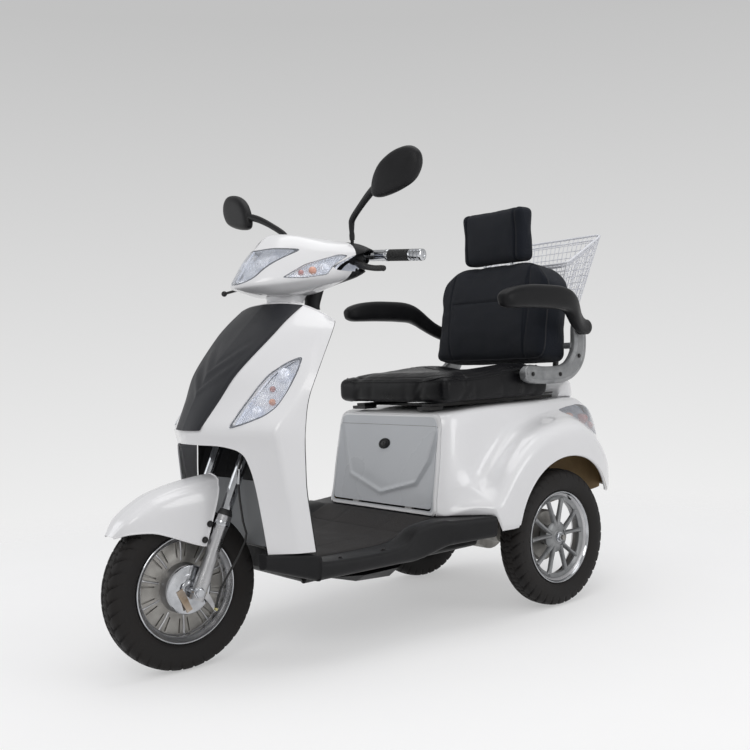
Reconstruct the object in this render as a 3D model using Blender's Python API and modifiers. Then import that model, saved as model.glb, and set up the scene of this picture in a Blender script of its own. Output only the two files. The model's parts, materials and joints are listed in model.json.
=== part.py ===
"""Electric passenger tricycle: one front wheel, two driven rear wheels, an armchair seat and a basket.

Metres, +Z up. The front faces -Y and the rider's left is +X. All sizes below are measured from the
floor and from a datum midway between the axles; the whole model is moved by ORIGIN_Y at the end, so
that its origin is under the middle of its box.
"""

import math

import bmesh
import bpy
from mathutils import Matrix, Vector

# Wheels
WHEELBASE = 1.105
TRACK = 0.600
TYRE_RADIUS = 0.206
TYRE_WIDTH = 0.082
TYRE_HEIGHT = 0.068
RIM_WIDTH = 0.062
RIM_WALL = 0.005
RIM_WELL_DEPTH = 0.016
HUB_RADIUS = 0.030
AXLE_RADIUS = 0.008
AXLE_TUBE_RADIUS = 0.021
REAR_RING_DEPTH = 0.024
FRONT_RING_DEPTH = 0.025
FRONT_SLOT_LENGTH = 0.031
SPOKE_PAIRS = 5
FRONT_WINDOWS = 10
WHEEL_STEPS = 32

# Steering
RAKE = math.radians(24.5)
HEAD_POINT_Y = -0.200
HEAD_POINT_Z = 0.950
STEM_RADIUS = 0.014
HEAD_TUBE_RADIUS = 0.024
RAIL_X = 0.150
RAIL_RADIUS = 0.016
CROSS_RADIUS = 0.0152
REAR_CROSS_Y = 0.700
DOWN_TUBE_RADIUS = 0.017
SHOCK_X = 0.195
SHOCK_TOP_Y = 0.522
SHOCK_TOP_Z = 0.455
FORK_HALF_SPACING = 0.070
FORK_TUBE_RADIUS = 0.0145
SLIDER_RADIUS = 0.020
SLIDER_LENGTH = 0.200
CABLE_RADIUS = 0.003
DOWN_TUBE_OFFSET = 0.0775

# Bodywork
PANEL_WALL = 0.003
SPLASH_OFFSET = 0.0035
SPLASH_TOP_Z = 0.4550
LINER_TOP_Z = 0.5560
BODY_WALL = 0.004
ARCH_Y = 0.565
ARCH_Z = 0.213
ARCH_RADIUS = 0.245
FENDER_RADIUS = 0.341
FLOOR_Z = 0.265
FLOOR_BOTTOM_Z = 0.220
PLATFORM_Z = 0.315
SILL_END_Y = 0.238
BODY_BOTTOM_Z = 0.316
HATCH_HALF_WIDTH = 0.222
HATCH_BOTTOM_Z = 0.335
HATCH_HEIGHT = 0.235
HATCH_WALL = 0.006
LOCK_HEIGHT = 0.178
HATCH_GAP = 0.0055

# Seat
SEAT_HALF_WIDTH = 0.250
SEAT_BOTTOM_Z = 0.634
SEAT_FRONT_Y = 0.165
SEAT_LENGTH = 0.460
CUSHION_HEIGHT = 0.070
RUNNER_X = 0.150
CUSHION_RISE = 0.032
BACK_LEAN = math.radians(9)
BACK_HEIGHT = 0.330
BACK_INSET = 0.005
BACK_THICKNESS = 0.160
HEADREST_HALF_WIDTH = 0.132
HEADREST_HEIGHT = 0.168
HEADREST_THICKNESS = 0.085
HEADREST_FRONT_Y = 0.643
HEADREST_BOTTOM_Z = 1.080
POST_RADIUS = 0.006
POST_HALF_SPACING = 0.060
ARM_PIVOT_Y = 0.742
ARM_PIVOT_Z = 0.842
ARM_WIDTH = 0.056
BRACKET_OFFSET = 0.022
ARM_PIVOT_OFFSET = 0.030
ARM_OFFSET = 0.080
BRACKET_WIDTH = 0.024

# Handlebar
BAR_RADIUS = 0.011
GRIP_RADIUS = 0.016
LEVER_RADIUS = 0.0085
LEVER_INSET = 0.062
GRIP_START_X = 0.235
LEVER_X = 0.228
BAR_HALF_WIDTH = 0.362
BAR_MIDDLE_Y = -0.100

# Basket
BASKET_HALF_WIDTH = 0.200
BASKET_FRONT_Y = 0.800
BASKET_REAR_Y = 1.000
BASKET_WIRE = 0.004
CAP_TOP_Z = 0.672
RACK_LEAN_DROP = 0.0014

# Clearances
SEAT_GAP = 0.0003
RUN_GAP = 0.0055

AXLE_Y = WHEELBASE / 2
WHEEL_X = TRACK / 2
RIM_RADIUS = TYRE_RADIUS - TYRE_HEIGHT
DOWN_TUBE_Y = TYRE_RADIUS - AXLE_Y + DOWN_TUBE_OFFSET
BACK_HALF_WIDTH = SEAT_HALF_WIDTH - BACK_INSET
BRACKET_X = SEAT_HALF_WIDTH + BRACKET_OFFSET
ARM_PIVOT_X = BRACKET_X + ARM_PIVOT_OFFSET
ARM_X = BRACKET_X + ARM_OFFSET
MODEL_FRONT_Y = -AXLE_Y - TYRE_RADIUS
MODEL_REAR_Y = BASKET_REAR_Y + BASKET_WIRE / 2
ORIGIN_Y = (MODEL_FRONT_Y + MODEL_REAR_Y) / 2
BOARD_TOP_Z = BODY_BOTTOM_Z - SEAT_GAP
SIDES = (("left", 1), ("right", -1))
STEER_AXIS = Vector((0, math.sin(RAKE), math.cos(RAKE)))
HEAD_POINT = Vector((0, HEAD_POINT_Y, HEAD_POINT_Z))

LOOKS = {
    # name: red, green, blue, roughness, metallic
    "white_paint": (0.80, 0.80, 0.80, 0.18, 0.0),
    "black_plastic": (0.018, 0.018, 0.020, 0.45, 0.0),
    "grey_plastic": (0.30, 0.31, 0.32, 0.55, 0.0),
    "black_steel": (0.020, 0.020, 0.022, 0.40, 0.0),
    "chrome": (0.75, 0.75, 0.76, 0.08, 1.0),
    "alloy": (0.55, 0.56, 0.57, 0.30, 1.0),
    "silver_paint": (0.36, 0.37, 0.38, 0.35, 0.6),
    "tyre_rubber": (0.016, 0.015, 0.015, 0.75, 0.0),
    "grip_rubber": (0.015, 0.015, 0.015, 0.60, 0.0),
    "black_vinyl": (0.012, 0.012, 0.013, 0.40, 0.0),
    "black_fabric": (0.012, 0.013, 0.017, 0.85, 0.0),
    "clear_lens": (0.80, 0.82, 0.85, 0.06, 0.0),
    "white_wire": (0.72, 0.73, 0.76, 0.35, 0.0),
    "cable_rubber": (0.012, 0.012, 0.012, 0.55, 0.0),
}


# Scene and helpers


def clear_scene():
    for obj in list(bpy.data.objects):
        bpy.data.objects.remove(obj, do_unlink=True)


def make_collection(name):
    collection = bpy.data.collections.new(name)
    bpy.context.scene.collection.children.link(collection)
    return collection


def make_looks():
    made = {}
    for name, (red, green, blue, roughness, metallic) in LOOKS.items():
        material = bpy.data.materials.new(name)
        material.use_nodes = True
        shader = material.node_tree.nodes["Principled BSDF"]
        shader.inputs["Base Color"].default_value = (red, green, blue, 1)
        shader.inputs["Roughness"].default_value = roughness
        shader.inputs["Metallic"].default_value = metallic
        material.diffuse_color = (red, green, blue, 1)
        made[name] = material
    return made


def new_object(name, data, look, smooth_angle=35):
    obj = bpy.data.objects.new(name, data)
    PARTS.objects.link(obj)
    if look:
        data.materials.clear()
        data.materials.append(MATERIALS[look])
    if obj.type == "MESH" and smooth_angle:
        data.shade_smooth()
        data.set_sharp_from_angle(angle=math.radians(smooth_angle))
    return obj


def from_bmesh(name, bm, look, smooth_angle=35):
    bmesh.ops.recalc_face_normals(bm, faces=bm.faces)
    mesh = bpy.data.meshes.new(name)
    bm.to_mesh(mesh)
    bm.free()
    return new_object(name, mesh, look, smooth_angle)


def block(name, low, high, look, bevel=0.0, segments=2):
    bm = bmesh.new()
    bmesh.ops.create_cube(bm, size=1)
    size = Vector(high) - Vector(low)
    middle = (Vector(high) + Vector(low)) / 2
    bmesh.ops.scale(bm, vec=size, verts=bm.verts)
    bmesh.ops.translate(bm, vec=middle, verts=bm.verts)
    if bevel:
        bmesh.ops.bevel(bm, geom=bm.edges[:], offset=bevel, segments=segments, affect="EDGES", profile=0.5)
    return from_bmesh(name, bm, look)


def rod(name, start, end, radius, look, sides=16, end_radius=None):
    start, end = Vector(start), Vector(end)
    run = end - start
    bm = bmesh.new()
    bmesh.ops.create_cone(
        bm,
        cap_ends=True,
        segments=sides,
        radius1=radius,
        radius2=radius if end_radius is None else end_radius,
        depth=run.length,
    )
    turn = Vector((0, 0, 1)).rotation_difference(run.normalized()).to_matrix().to_4x4()
    bmesh.ops.transform(bm, matrix=Matrix.Translation((start + end) / 2) @ turn, verts=bm.verts)
    return from_bmesh(name, bm, look)


def turned(name, profile, centre, look, steps=40):
    """A ring turned about the X direction through centre, from a closed profile of (x, radius)."""
    bm = bmesh.new()
    corners = [bm.verts.new((x, 0, radius)) for x, radius in profile]
    edges = [bm.edges.new((a, b)) for a, b in zip(corners, corners[1:] + corners[:1])]
    bmesh.ops.spin(
        bm,
        geom=corners + edges,
        axis=(1, 0, 0),
        cent=(0, 0, 0),
        dvec=(0, 0, 0),
        angle=2 * math.pi,
        steps=steps,
        use_merge=True,
    )
    bmesh.ops.translate(bm, vec=centre, verts=bm.verts)
    return from_bmesh(name, bm, look)


def pipe(name, points, radius, look, resolution=2):
    curve = bpy.data.curves.new(name, "CURVE")
    curve.dimensions = "3D"
    curve.bevel_depth = radius
    curve.bevel_resolution = resolution
    curve.use_fill_caps = True
    spline = curve.splines.new("POLY")
    spline.points.add(len(points) - 1)
    for point, place in zip(spline.points, points):
        point.co = (*place, 1)
    return new_object(name, curve, look)


def smooth_path(points, per_span=4):
    """A Catmull-Rom curve through the points, which all lie on it."""
    points = [Vector(p) for p in points]
    ends = [points[0] * 2 - points[1]] + points + [points[-1] * 2 - points[-2]]
    path = []
    for a, b, c, d in zip(ends, ends[1:], ends[2:], ends[3:]):
        for step in range(per_span):
            t = step / per_span
            path.append(
                0.5 * (
                    2 * b + (c - a) * t + (2 * a - 5 * b + 4 * c - d) * t**2
                    + (3 * b - a - 3 * c + d) * t**3
                )
            )
    return path + [points[-1]]


def outline_plate(name, loops, x, thickness, look):
    """A flat plate in the YZ plane at x, from closed loops of (y, z); loops after the first are holes."""
    curve = bpy.data.curves.new(name, "CURVE")
    curve.dimensions = "2D"
    curve.fill_mode = "BOTH"
    curve.extrude = thickness / 2
    for loop in loops:
        spline = curve.splines.new("POLY")
        spline.points.add(len(loop) - 1)
        for point, (y, z) in zip(spline.points, loop):
            point.co = (y, z, 0, 1)
        spline.use_cyclic_u = True
    obj = new_object(name, curve, look)
    obj.matrix_world = Matrix(((0, 0, 1, x), (1, 0, 0, 0), (0, 1, 0, 0), (0, 0, 0, 1)))
    return obj


def front_plate(name, outline, y, thickness, look="clear_lens"):
    """A prism along Y from an outline of (x, z), its middle at y."""
    curve = bpy.data.curves.new(name, "CURVE")
    curve.dimensions = "2D"
    curve.fill_mode = "BOTH"
    curve.extrude = thickness / 2
    spline = curve.splines.new("POLY")
    spline.points.add(len(outline) - 1)
    for point, (x, z) in zip(spline.points, outline):
        point.co = (x, z, 0, 1)
    spline.use_cyclic_u = True
    obj = new_object(name, curve, look)
    obj.matrix_world = Matrix(((1, 0, 0, 0), (0, 0, -1, y), (0, 1, 0, 0), (0, 0, 0, 1)))
    return obj


def shrunk(outline, amount):
    """The outline with each corner moved inwards along its two sides' mean normal."""
    area = sum(a[0] * b[1] - b[0] * a[1] for a, b in zip(outline, outline[1:] + outline[:1]))
    turn = 1 if area > 0 else -1
    made = []
    for before, at, after in zip(outline[-1:] + outline[:-1], outline, outline[1:] + outline[:1]):
        first = (Vector(at) - Vector(before)).normalized()
        second = (Vector(after) - Vector(at)).normalized()
        inwards = (Vector((-first.y, first.x)) + Vector((-second.y, second.x))).normalized() * turn
        lean = max(inwards.dot(Vector((-first.y, first.x)) * turn), 0.35)
        made.append(tuple(Vector(at) + inwards * amount / lean))
    return made


def as_mesh(obj, look=None):
    """The evaluated object as a mesh object of the same name, in world coordinates."""
    bpy.context.view_layer.update()
    graph = bpy.context.evaluated_depsgraph_get()
    mesh = bpy.data.meshes.new_from_object(obj.evaluated_get(graph))
    mesh.transform(obj.matrix_world)
    bm = bmesh.new()
    bm.from_mesh(mesh)
    bmesh.ops.remove_doubles(bm, verts=bm.verts, dist=1e-6)
    bpy.data.meshes.remove(mesh)
    name = obj.name
    slot = look or obj.active_material.name
    bpy.data.objects.remove(obj, do_unlink=True)
    return from_bmesh(name, bm, slot)


def combine(base, operation, others):
    """The base joined with, or cut by, each of the others in turn; the others are used up."""
    others = [as_mesh(other) for other in others]
    for other in others:
        modifier = base.modifiers.new(other.name, "BOOLEAN")
        modifier.operation = operation
        modifier.object = other
    made = as_mesh(base)
    for other in others:
        bpy.data.objects.remove(other, do_unlink=True)
    return made


def fuse(name, pieces, look):
    base = as_mesh(pieces[0], look)
    made = combine(base, "UNION", pieces[1:])
    made.name = name
    made.data.name = name
    return made


def cut(base, cutters):
    return combine(base, "DIFFERENCE", cutters)


def loft(name, rings, look, smooth_angle=35):
    """A closed solid through rings that all have the same number of points."""
    bm = bmesh.new()
    rows = [[bm.verts.new(point) for point in ring] for ring in rings]
    for first, second in zip(rows, rows[1:]):
        for i in range(len(first)):
            j = (i + 1) % len(first)
            bm.faces.new((first[i], first[j], second[j], second[i]))
    bm.faces.new(rows[0])
    bm.faces.new(rows[-1][::-1])
    return from_bmesh(name, bm, look, smooth_angle)


def shell(name, rows, wall, look, rounds=0, smooth_angle=35):
    """An open surface through rows of points, some of them None, thickened inwards by the wall."""
    bm = bmesh.new()
    made = [[bm.verts.new(p) if p is not None else None for p in row] for row in rows]
    for first, second in zip(made, made[1:]):
        for i in range(len(first) - 1):
            corners = (first[i], first[i + 1], second[i + 1], second[i])
            if all(corners):
                bm.faces.new(corners)
    loose = [v for v in bm.verts if not v.link_faces]
    bmesh.ops.delete(bm, geom=loose, context="VERTS")
    mesh = bpy.data.meshes.new(name)
    bm.to_mesh(mesh)
    bm.free()
    obj = new_object(name, mesh, look, smooth_angle)
    if rounds:
        smoother = obj.modifiers.new("rounds", "SUBSURF")
        smoother.levels = rounds
        smoother.render_levels = rounds
        smoother.boundary_smooth = "PRESERVE_CORNERS"
    thick = obj.modifiers.new("wall", "SOLIDIFY")
    thick.thickness = wall
    thick.offset = 1
    thick.use_even_offset = True
    return obj


def mirrored(row):
    """A half section, from the middle outwards at +X, as a whole one from right to left."""
    other = [None if p is None else (-p[0], p[1], p[2]) for p in reversed(row[1:])]
    return other + list(row)


def attach(obj, parent):
    """Parents the object without moving it."""
    obj.parent = parent
    obj.matrix_parent_inverse = parent.matrix_world.inverted()


def joint_empty(name, place, parent):
    empty = bpy.data.objects.new(name, None)
    PARTS.objects.link(empty)
    empty.location = place
    bpy.context.view_layer.update()
    if parent:
        attach(empty, parent)
    return empty


# Wheels


def tyre(name, centre):
    half = TYRE_WIDTH / 2
    bead = RIM_RADIUS + SEAT_GAP
    height = TYRE_RADIUS - bead
    # share of the half width, share of the tyre's height
    side = ((0.66, 0.0), (0.90, 0.24), (1.0, 0.55), (0.88, 0.86), (0.42, 1.0))
    right = [(-half * w, bead + height * h) for w, h in side]
    left = [(half * w, bead + height * h) for w, h in reversed(side)]
    return turned(name, right + left, centre, "tyre_rubber", steps=WHEEL_STEPS)


def window(middle, inner, outer, inner_half, outer_half, centre):
    """A hole in a wheel disc: middle and half angles in degrees, radii in metres."""
    loop = []
    turns = (-1, 0, 1) if outer_half > 8 else (-1, 1)
    for radius, half, order in ((inner, inner_half, turns), (outer, outer_half, turns[::-1])):
        for turn in order:
            angle = math.radians(middle + turn * half)
            loop.append((centre[1] + radius * math.cos(angle), centre[2] + radius * math.sin(angle)))
    return loop


def circle(radius, centre, steps=WHEEL_STEPS):
    return [
        (
            centre[1] + radius * math.cos(2 * math.pi * i / steps),
            centre[2] + radius * math.sin(2 * math.pi * i / steps),
        )
        for i in range(steps)
    ]


def rim(name, centre, outside, windows, disc_x, hub_half_width, bore):
    """A one-piece alloy wheel: barrel, windowed disc and hub with a bore for the axle."""
    half = RIM_WIDTH / 2
    inner = RIM_RADIUS - RIM_WALL
    well = RIM_RADIUS - RIM_WELL_DEPTH
    # x across the rim, radius
    barrel = (
        (-half, RIM_RADIUS),
        (half, RIM_RADIUS),
        (half, inner),
        (half * 0.5, well - RIM_WALL),
        (-half * 0.5, well - RIM_WALL),
        (-half, inner),
    )
    pieces = [
        turned(name + "_barrel", barrel, centre, "alloy", steps=WHEEL_STEPS),
        outline_plate(
            name + "_disc",
            [circle(well, centre)] + [window(*row, centre) for row in windows],
            centre[0] + outside * disc_x,
            0.012,
            "alloy",
        ),
        rod(
            name + "_hub",
            Vector(centre) - Vector((hub_half_width, 0, 0)),
            Vector(centre) + Vector((hub_half_width, 0, 0)),
            HUB_RADIUS,
            "alloy",
            24,
        ),
    ]
    made = fuse(name, pieces, "alloy")
    hole = rod(
        name + "_bore",
        Vector(centre) - Vector((0.2, 0, 0)),
        Vector(centre) + Vector((0.2, 0, 0)),
        bore,
        "alloy",
        24,
    )
    return cut(made, [hole])


def rear_windows():
    """Ten spokes in five V pairs."""
    step = 360 / SPOKE_PAIRS
    outer = RIM_RADIUS - REAR_RING_DEPTH
    rows = []
    for i in range(SPOKE_PAIRS):
        middle = 90 + i * step
        rows.append((middle, HUB_RADIUS + 0.022, outer, 2.0, 12.5))
        rows.append((middle + step / 2, HUB_RADIUS + 0.016, outer, 14.0, 17.0))
    return rows


def front_windows():
    """Pairs of narrow radial slots in a cast disc."""
    step = 360 / FRONT_WINDOWS
    outer = RIM_RADIUS - FRONT_RING_DEPTH
    rows = []
    for i in range(FRONT_WINDOWS):
        for offset in (-7.5, 7.5):
            rows.append((90 + i * step + offset, outer - FRONT_SLOT_LENGTH, outer, 3.8, 4.6))
    return rows


def build_wheels(root, steering):
    front = (0, -AXLE_Y, TYRE_RADIUS)
    spin = joint_empty("front_wheel", front, steering)
    attach(tyre("front_tyre", front), spin)
    bore = AXLE_RADIUS + SEAT_GAP
    attach(rim("front_rim", front, 1, front_windows(), 0.0, 0.036, bore), spin)
    for side, sign in SIDES:
        centre = (sign * WHEEL_X, AXLE_Y, TYRE_RADIUS)
        spin = joint_empty("rear_wheel_" + side, centre, root)
        attach(tyre("rear_tyre_" + side, centre), spin)
        attach(rim("rear_rim_" + side, centre, sign, rear_windows(), 0.012, 0.026, bore), spin)


# Chassis


def on_head(distance, x=0.0):
    """A point this far up the steering axis from the head point."""
    return HEAD_POINT + STEER_AXIS * distance + Vector((x, 0, 0))


def build_chassis(root):
    low_z = FLOOR_BOTTOM_Z - RAIL_RADIUS - SEAT_GAP
    high_z = PLATFORM_Z - RAIL_RADIUS
    foot = Vector((0, DOWN_TUBE_Y, low_z))
    pieces = [rod("head_tube", on_head(-0.30), on_head(-0.06), HEAD_TUBE_RADIUS, "black_steel", 20)]
    pieces.append(rod("down_tube", on_head(-0.20), foot, DOWN_TUBE_RADIUS, "black_steel"))
    for y in (foot.y, 0.20):
        pieces.append(rod("cross", (-RAIL_X, y, low_z), (RAIL_X, y, low_z), CROSS_RADIUS, "black_steel"))
    for sign in (-1, 1):
        x = sign * RAIL_X
        pieces.append(rod("rail", (x, foot.y - 0.01, low_z), (x, 0.36, low_z), RAIL_RADIUS, "black_steel"))
        pieces.append(rod("kick", (x, 0.355, low_z), (x, 0.43, high_z), RAIL_RADIUS, "black_steel"))
        pieces.append(rod("upper", (x, 0.425, high_z), (x, 0.71, high_z), RAIL_RADIUS, "black_steel"))
        pieces.append(rod(
            "tower", (x, SHOCK_TOP_Y, high_z), (x, SHOCK_TOP_Y, SHOCK_TOP_Z + 0.02), 0.012, "black_steel"
        ))
    made = fuse("chassis_frame", pieces, "black_steel")
    inner = STEM_RADIUS + SEAT_GAP
    made = cut(made, [rod("head_bore", on_head(-0.32), on_head(-0.04), inner, "black_steel", 20)])
    attach(made, root)
    reach = RAIL_X - RAIL_RADIUS - SEAT_GAP
    left, right = (-reach, REAR_CROSS_Y, high_z), (reach, REAR_CROSS_Y, high_z)
    attach(rod("frame_rear_cross", left, right, CROSS_RADIUS, "black_steel"), root)

    axle = fuse(
        "rear_axle",
        [
            rod(
                "tube", (-0.225, AXLE_Y, TYRE_RADIUS), (0.225, AXLE_Y, TYRE_RADIUS), AXLE_TUBE_RADIUS,
                "black_steel", 20
            ),
            rod(
                "shaft", (-0.345, AXLE_Y, TYRE_RADIUS), (0.345, AXLE_Y, TYRE_RADIUS), AXLE_RADIUS,
                "black_steel", 24
            ),
            rod(
                "differential", (-0.045, AXLE_Y, TYRE_RADIUS), (0.045, AXLE_Y, TYRE_RADIUS), 0.070,
                "black_steel", 24
            ),
            rod(
                "flange_left", (0.215, AXLE_Y, TYRE_RADIUS), (0.235, AXLE_Y, TYRE_RADIUS), 0.055,
                "black_steel", 24
            ),
            rod(
                "flange_right", (-0.235, AXLE_Y, TYRE_RADIUS), (-0.215, AXLE_Y, TYRE_RADIUS), 0.055,
                "black_steel", 24
            ),
        ],
        "black_steel",
    )
    attach(axle, root)
    motor_x = 0.045 + SEAT_GAP
    attach(
        rod(
            "drive_motor",
            (motor_x, AXLE_Y - 0.055, TYRE_RADIUS),
            (motor_x + 0.10, AXLE_Y - 0.055, TYRE_RADIUS),
            0.030,
            "alloy",
            24,
        ),
        root,
    )
    for side, sign in SIDES:
        attach(build_shock("shock_" + side, sign), root)


def build_shock(name, sign):
    x = sign * SHOCK_X
    low = Vector((x, AXLE_Y, TYRE_RADIUS + AXLE_TUBE_RADIUS + SEAT_GAP))
    high = Vector((x, SHOCK_TOP_Y, SHOCK_TOP_Z))
    run = (high - low).normalized()
    pieces = [rod(name + "_rod", low, high, 0.010, "black_steel", 12)]
    pieces.append(rod(name + "_spring", low + run * 0.05, high - run * 0.035, 0.024, "black_steel", 16))
    inner = (sign * (RAIL_X + 0.012 + SEAT_GAP), high.y, high.z)
    pieces.append(rod(name + "_pin", inner, high, 0.009, "black_steel", 12))
    return fuse(name, pieces, "black_steel")


# Front bodywork

SHIELD = (
    # z, middle y, panel edge x, y, flank x, y, crease x, y, rear edge x, y
    (0.915, -0.262, 0.150, -0.243, 0.178, -0.226, 0.205, -0.207, 0.216, -0.192),
    (0.835, -0.356, 0.140, -0.339, 0.188, -0.300, 0.232, -0.254, 0.245, -0.226),
    (0.745, -0.444, 0.110, -0.426, 0.178, -0.367, 0.247, -0.300, 0.259, -0.284),
    (0.672, -0.492, 0.084, -0.470, 0.166, -0.416, 0.250, -0.348, 0.264, -0.322),
    (0.600, -0.527, 0.060, -0.514, 0.154, -0.474, 0.250, -0.415, 0.265, -0.336),
    (0.560, -0.533, 0.060, -0.521, 0.150, -0.474, 0.251, -0.408, 0.266, -0.340),
)
SHIELD_LEGS = (
    # z, arch edge x, y, crease x, y, rear edge x, y
    (0.520, 0.176, -0.449, 0.251, -0.400, 0.267, -0.340),
    (0.450, 0.188, -0.437, 0.252, -0.388, 0.269, -0.342),
    (0.380, 0.196, -0.428, 0.253, -0.374, 0.270, -0.334),
    (0.2926, 0.202, -0.420, 0.254, -0.361, 0.270, -0.322),
)


# x, z round the left shield lamp, seen from the front
SHIELD_LAMP = (
    (0.222, 0.780), (0.198, 0.768), (0.172, 0.738), (0.156, 0.700), (0.142, 0.655), (0.136, 0.607),
    (0.170, 0.618), (0.205, 0.634), (0.220, 0.655), (0.224, 0.700), (0.224, 0.745),
)
LAMP_DEPTH = 0.028
# how far the inner cover stands back behind the shield's rear edge, from the top row to the lowest
INNER_BULGES = (0.030, 0.038, 0.052, 0.075, 0.092, 0.096, 0.096, 0.096, 0.096)
SHIELD_TOP_DROP = 0.045


def shield_rows(inset=0.0):
    rows = []
    for z, my, px, py, fx, fy, cx, cy, rx, ry in SHIELD:
        drop = SHIELD_TOP_DROP if z == SHIELD[0][0] else 0.0
        half = [
            (0, my + inset, z + drop * 0.25),
            (px * 0.55, my * 0.7 + py * 0.3 + inset, z + drop * 0.2),
            (px, py + inset, z),
            (fx - inset / 2, fy + inset / 2, z - drop * 0.35),
            (cx - inset, cy + inset / 2, z - drop * 0.75),
            (rx - inset, ry, z - drop),
        ]
        rows.append(half)
    for z, ax, ay, cx, cy, rx, ry in SHIELD_LEGS:
        half = [None, None, None, (ax, ay + inset, z), (cx - inset, cy + inset / 2, z), (rx - inset, ry, z)]
        rows.append(half)
    return rows


def build_shield(root):
    rows = [mirrored(row) for row in shield_rows()]
    shield = as_mesh(shell("front_shield", rows, PANEL_WALL, "white_paint"))
    holes = []
    for side, sign in SIDES:
        outline = [(sign * x, z) for x, z in SHIELD_LAMP]
        slab = shell("slab", [mirrored(row[:6]) for row in shield_rows(-0.002)[:6]], LAMP_DEPTH, "clear_lens")
        lamp = combine(
            as_mesh(slab), "INTERSECT", [front_plate("lamp", shrunk(outline, SEAT_GAP * 2), -0.5, 0.6)]
        )
        lamp.name = "shield_lamp_" + side
        attach(lamp, root)
        holes.append(front_plate("hole", outline, -0.5, 0.6, "white_paint"))
    attach(cut(shield, holes), root)

    panel = []
    for z, my, px, py, *_ in SHIELD:
        lift = 0.008 if z == SHIELD[0][0] else 0.0
        out = PANEL_WALL + SEAT_GAP + 0.0035
        half = [
            (0, my - out, z + 0.011 * (z == SHIELD[0][0])),
            (px * 0.55, my * 0.7 + py * 0.3 - out, z + lift),
            (px - 0.001, py - out, z),
        ]
        panel.append(mirrored(half))
    attach(shell("shield_centre", panel, PANEL_WALL, "black_plastic"), root)

    inner = []
    rows = [(z, rx, ry) for z, *_, rx, ry in SHIELD[:5]] + [(z, rx, ry) for z, *_, rx, ry in SHIELD_LEGS]
    for (z, rx, ry), bulge in zip(rows, INNER_BULGES):
        drop = SHIELD_TOP_DROP if z == SHIELD[0][0] else 0.0
        x = rx - PANEL_WALL - 0.0015
        profile = ((0, bulge), (0.100, bulge * 0.97), (0.160, bulge * 0.60), (x, 0.004))
        inner.append(mirrored([(at, ry + back, z - drop) for at, back in profile]))
    attach(shell("shield_inner", inner, PANEL_WALL, "black_plastic"), root)


def build_splash_panel(root):
    """The moulding behind the front wheel: grey below, closing the shield's arch between its legs."""
    low_y = TYRE_RADIUS - AXLE_Y - SPLASH_OFFSET
    bend_y = low_y + 0.006
    # name, look, then (z, y) of the lower and the upper edge
    pieces = (
        ("splash_panel", "grey_plastic", (0.2873, low_y), (SPLASH_TOP_Z, bend_y)),
        ("arch_liner", "black_plastic", (SPLASH_TOP_Z + 0.0016, bend_y), (LINER_TOP_Z, bend_y + 0.0305)),
    )
    for name, look, low, high in pieces:
        rows = []
        for z, y in (high, low):
            rows.append(mirrored([(0, y, z), (0.110, y, z), (0.175, y - 0.012, z), (0.200, y - 0.030, z)]))
        attach(shell(name, rows, PANEL_WALL, look), root)


# Floor


def build_floor(root):
    # y, half width at the top, middle z, edge z, bottom z
    sections = (
        (-0.430, 0.215, FLOOR_Z + 0.020, FLOOR_Z + 0.028, FLOOR_Z - 0.010),
        (-0.320, 0.280, FLOOR_Z + 0.010, FLOOR_Z + 0.020, FLOOR_BOTTOM_Z),
        (-0.300, 0.290, FLOOR_Z, FLOOR_Z + 0.002, FLOOR_BOTTOM_Z),
        (-0.070, 0.300, FLOOR_Z, FLOOR_Z, FLOOR_BOTTOM_Z),
        (0.005, 0.303, FLOOR_Z + 0.010, FLOOR_Z + 0.044, FLOOR_BOTTOM_Z),
        (0.080, 0.318, PLATFORM_Z - 0.010, PLATFORM_Z + 0.008, FLOOR_BOTTOM_Z + 0.020),
        (0.105, 0.325, PLATFORM_Z - 0.002, PLATFORM_Z + 0.004, FLOOR_BOTTOM_Z + 0.026),
        (0.130, 0.332, BOARD_TOP_Z, BOARD_TOP_Z, FLOOR_BOTTOM_Z + 0.028),
        (SILL_END_Y, 0.368, BOARD_TOP_Z, BOARD_TOP_Z, FLOOR_BOTTOM_Z + 0.034),
    )
    rings = []
    for y, half, middle, edge, bottom in sections:
        top = [(0, y, middle), (half * 0.72, y, middle), (half * 0.86, y, edge), (half, y, edge)]
        low = [(half - 0.004, y, bottom), (half * 0.6, y, bottom), (0, y, bottom)]
        right = [(-x, yy, z) for x, yy, z in reversed(top[1:] + low[:-1])]
        rings.append(top + low + right)
    board = loft("footboard", rings, "black_plastic")
    sweep = rod("sweep", (0, -0.545, 0.1), (0, -0.545, 0.5), 0.2125, "black_plastic", 48)
    passage = DOWN_TUBE_RADIUS + RUN_GAP
    hole = rod("hole", (0, DOWN_TUBE_Y, 0.1), (0, DOWN_TUBE_Y, 0.5), passage, "black_plastic", 24)
    attach(cut(board, [sweep, hole]), root)

    belly = []
    # y, half width, bottom z
    top = FLOOR_BOTTOM_Z - 2 * RAIL_RADIUS - 2 * SEAT_GAP
    for y, half, bottom in (
        (-0.19, 0.150, 0.184), (-0.11, 0.200, 0.165), (0.01, 0.200, 0.158), (0.08, 0.150, 0.184)
    ):
        belly.append([(-half, y, top), (half, y, top), (half * 0.8, y, bottom), (-half * 0.8, y, bottom)])
    attach(loft("belly_guard", belly, "black_plastic"), root)


# Rear bodywork


def fender_z(y):
    reach = FENDER_RADIUS**2 - (y - ARCH_Y) ** 2
    return ARCH_Z + math.sqrt(max(reach, 0.0))


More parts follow.
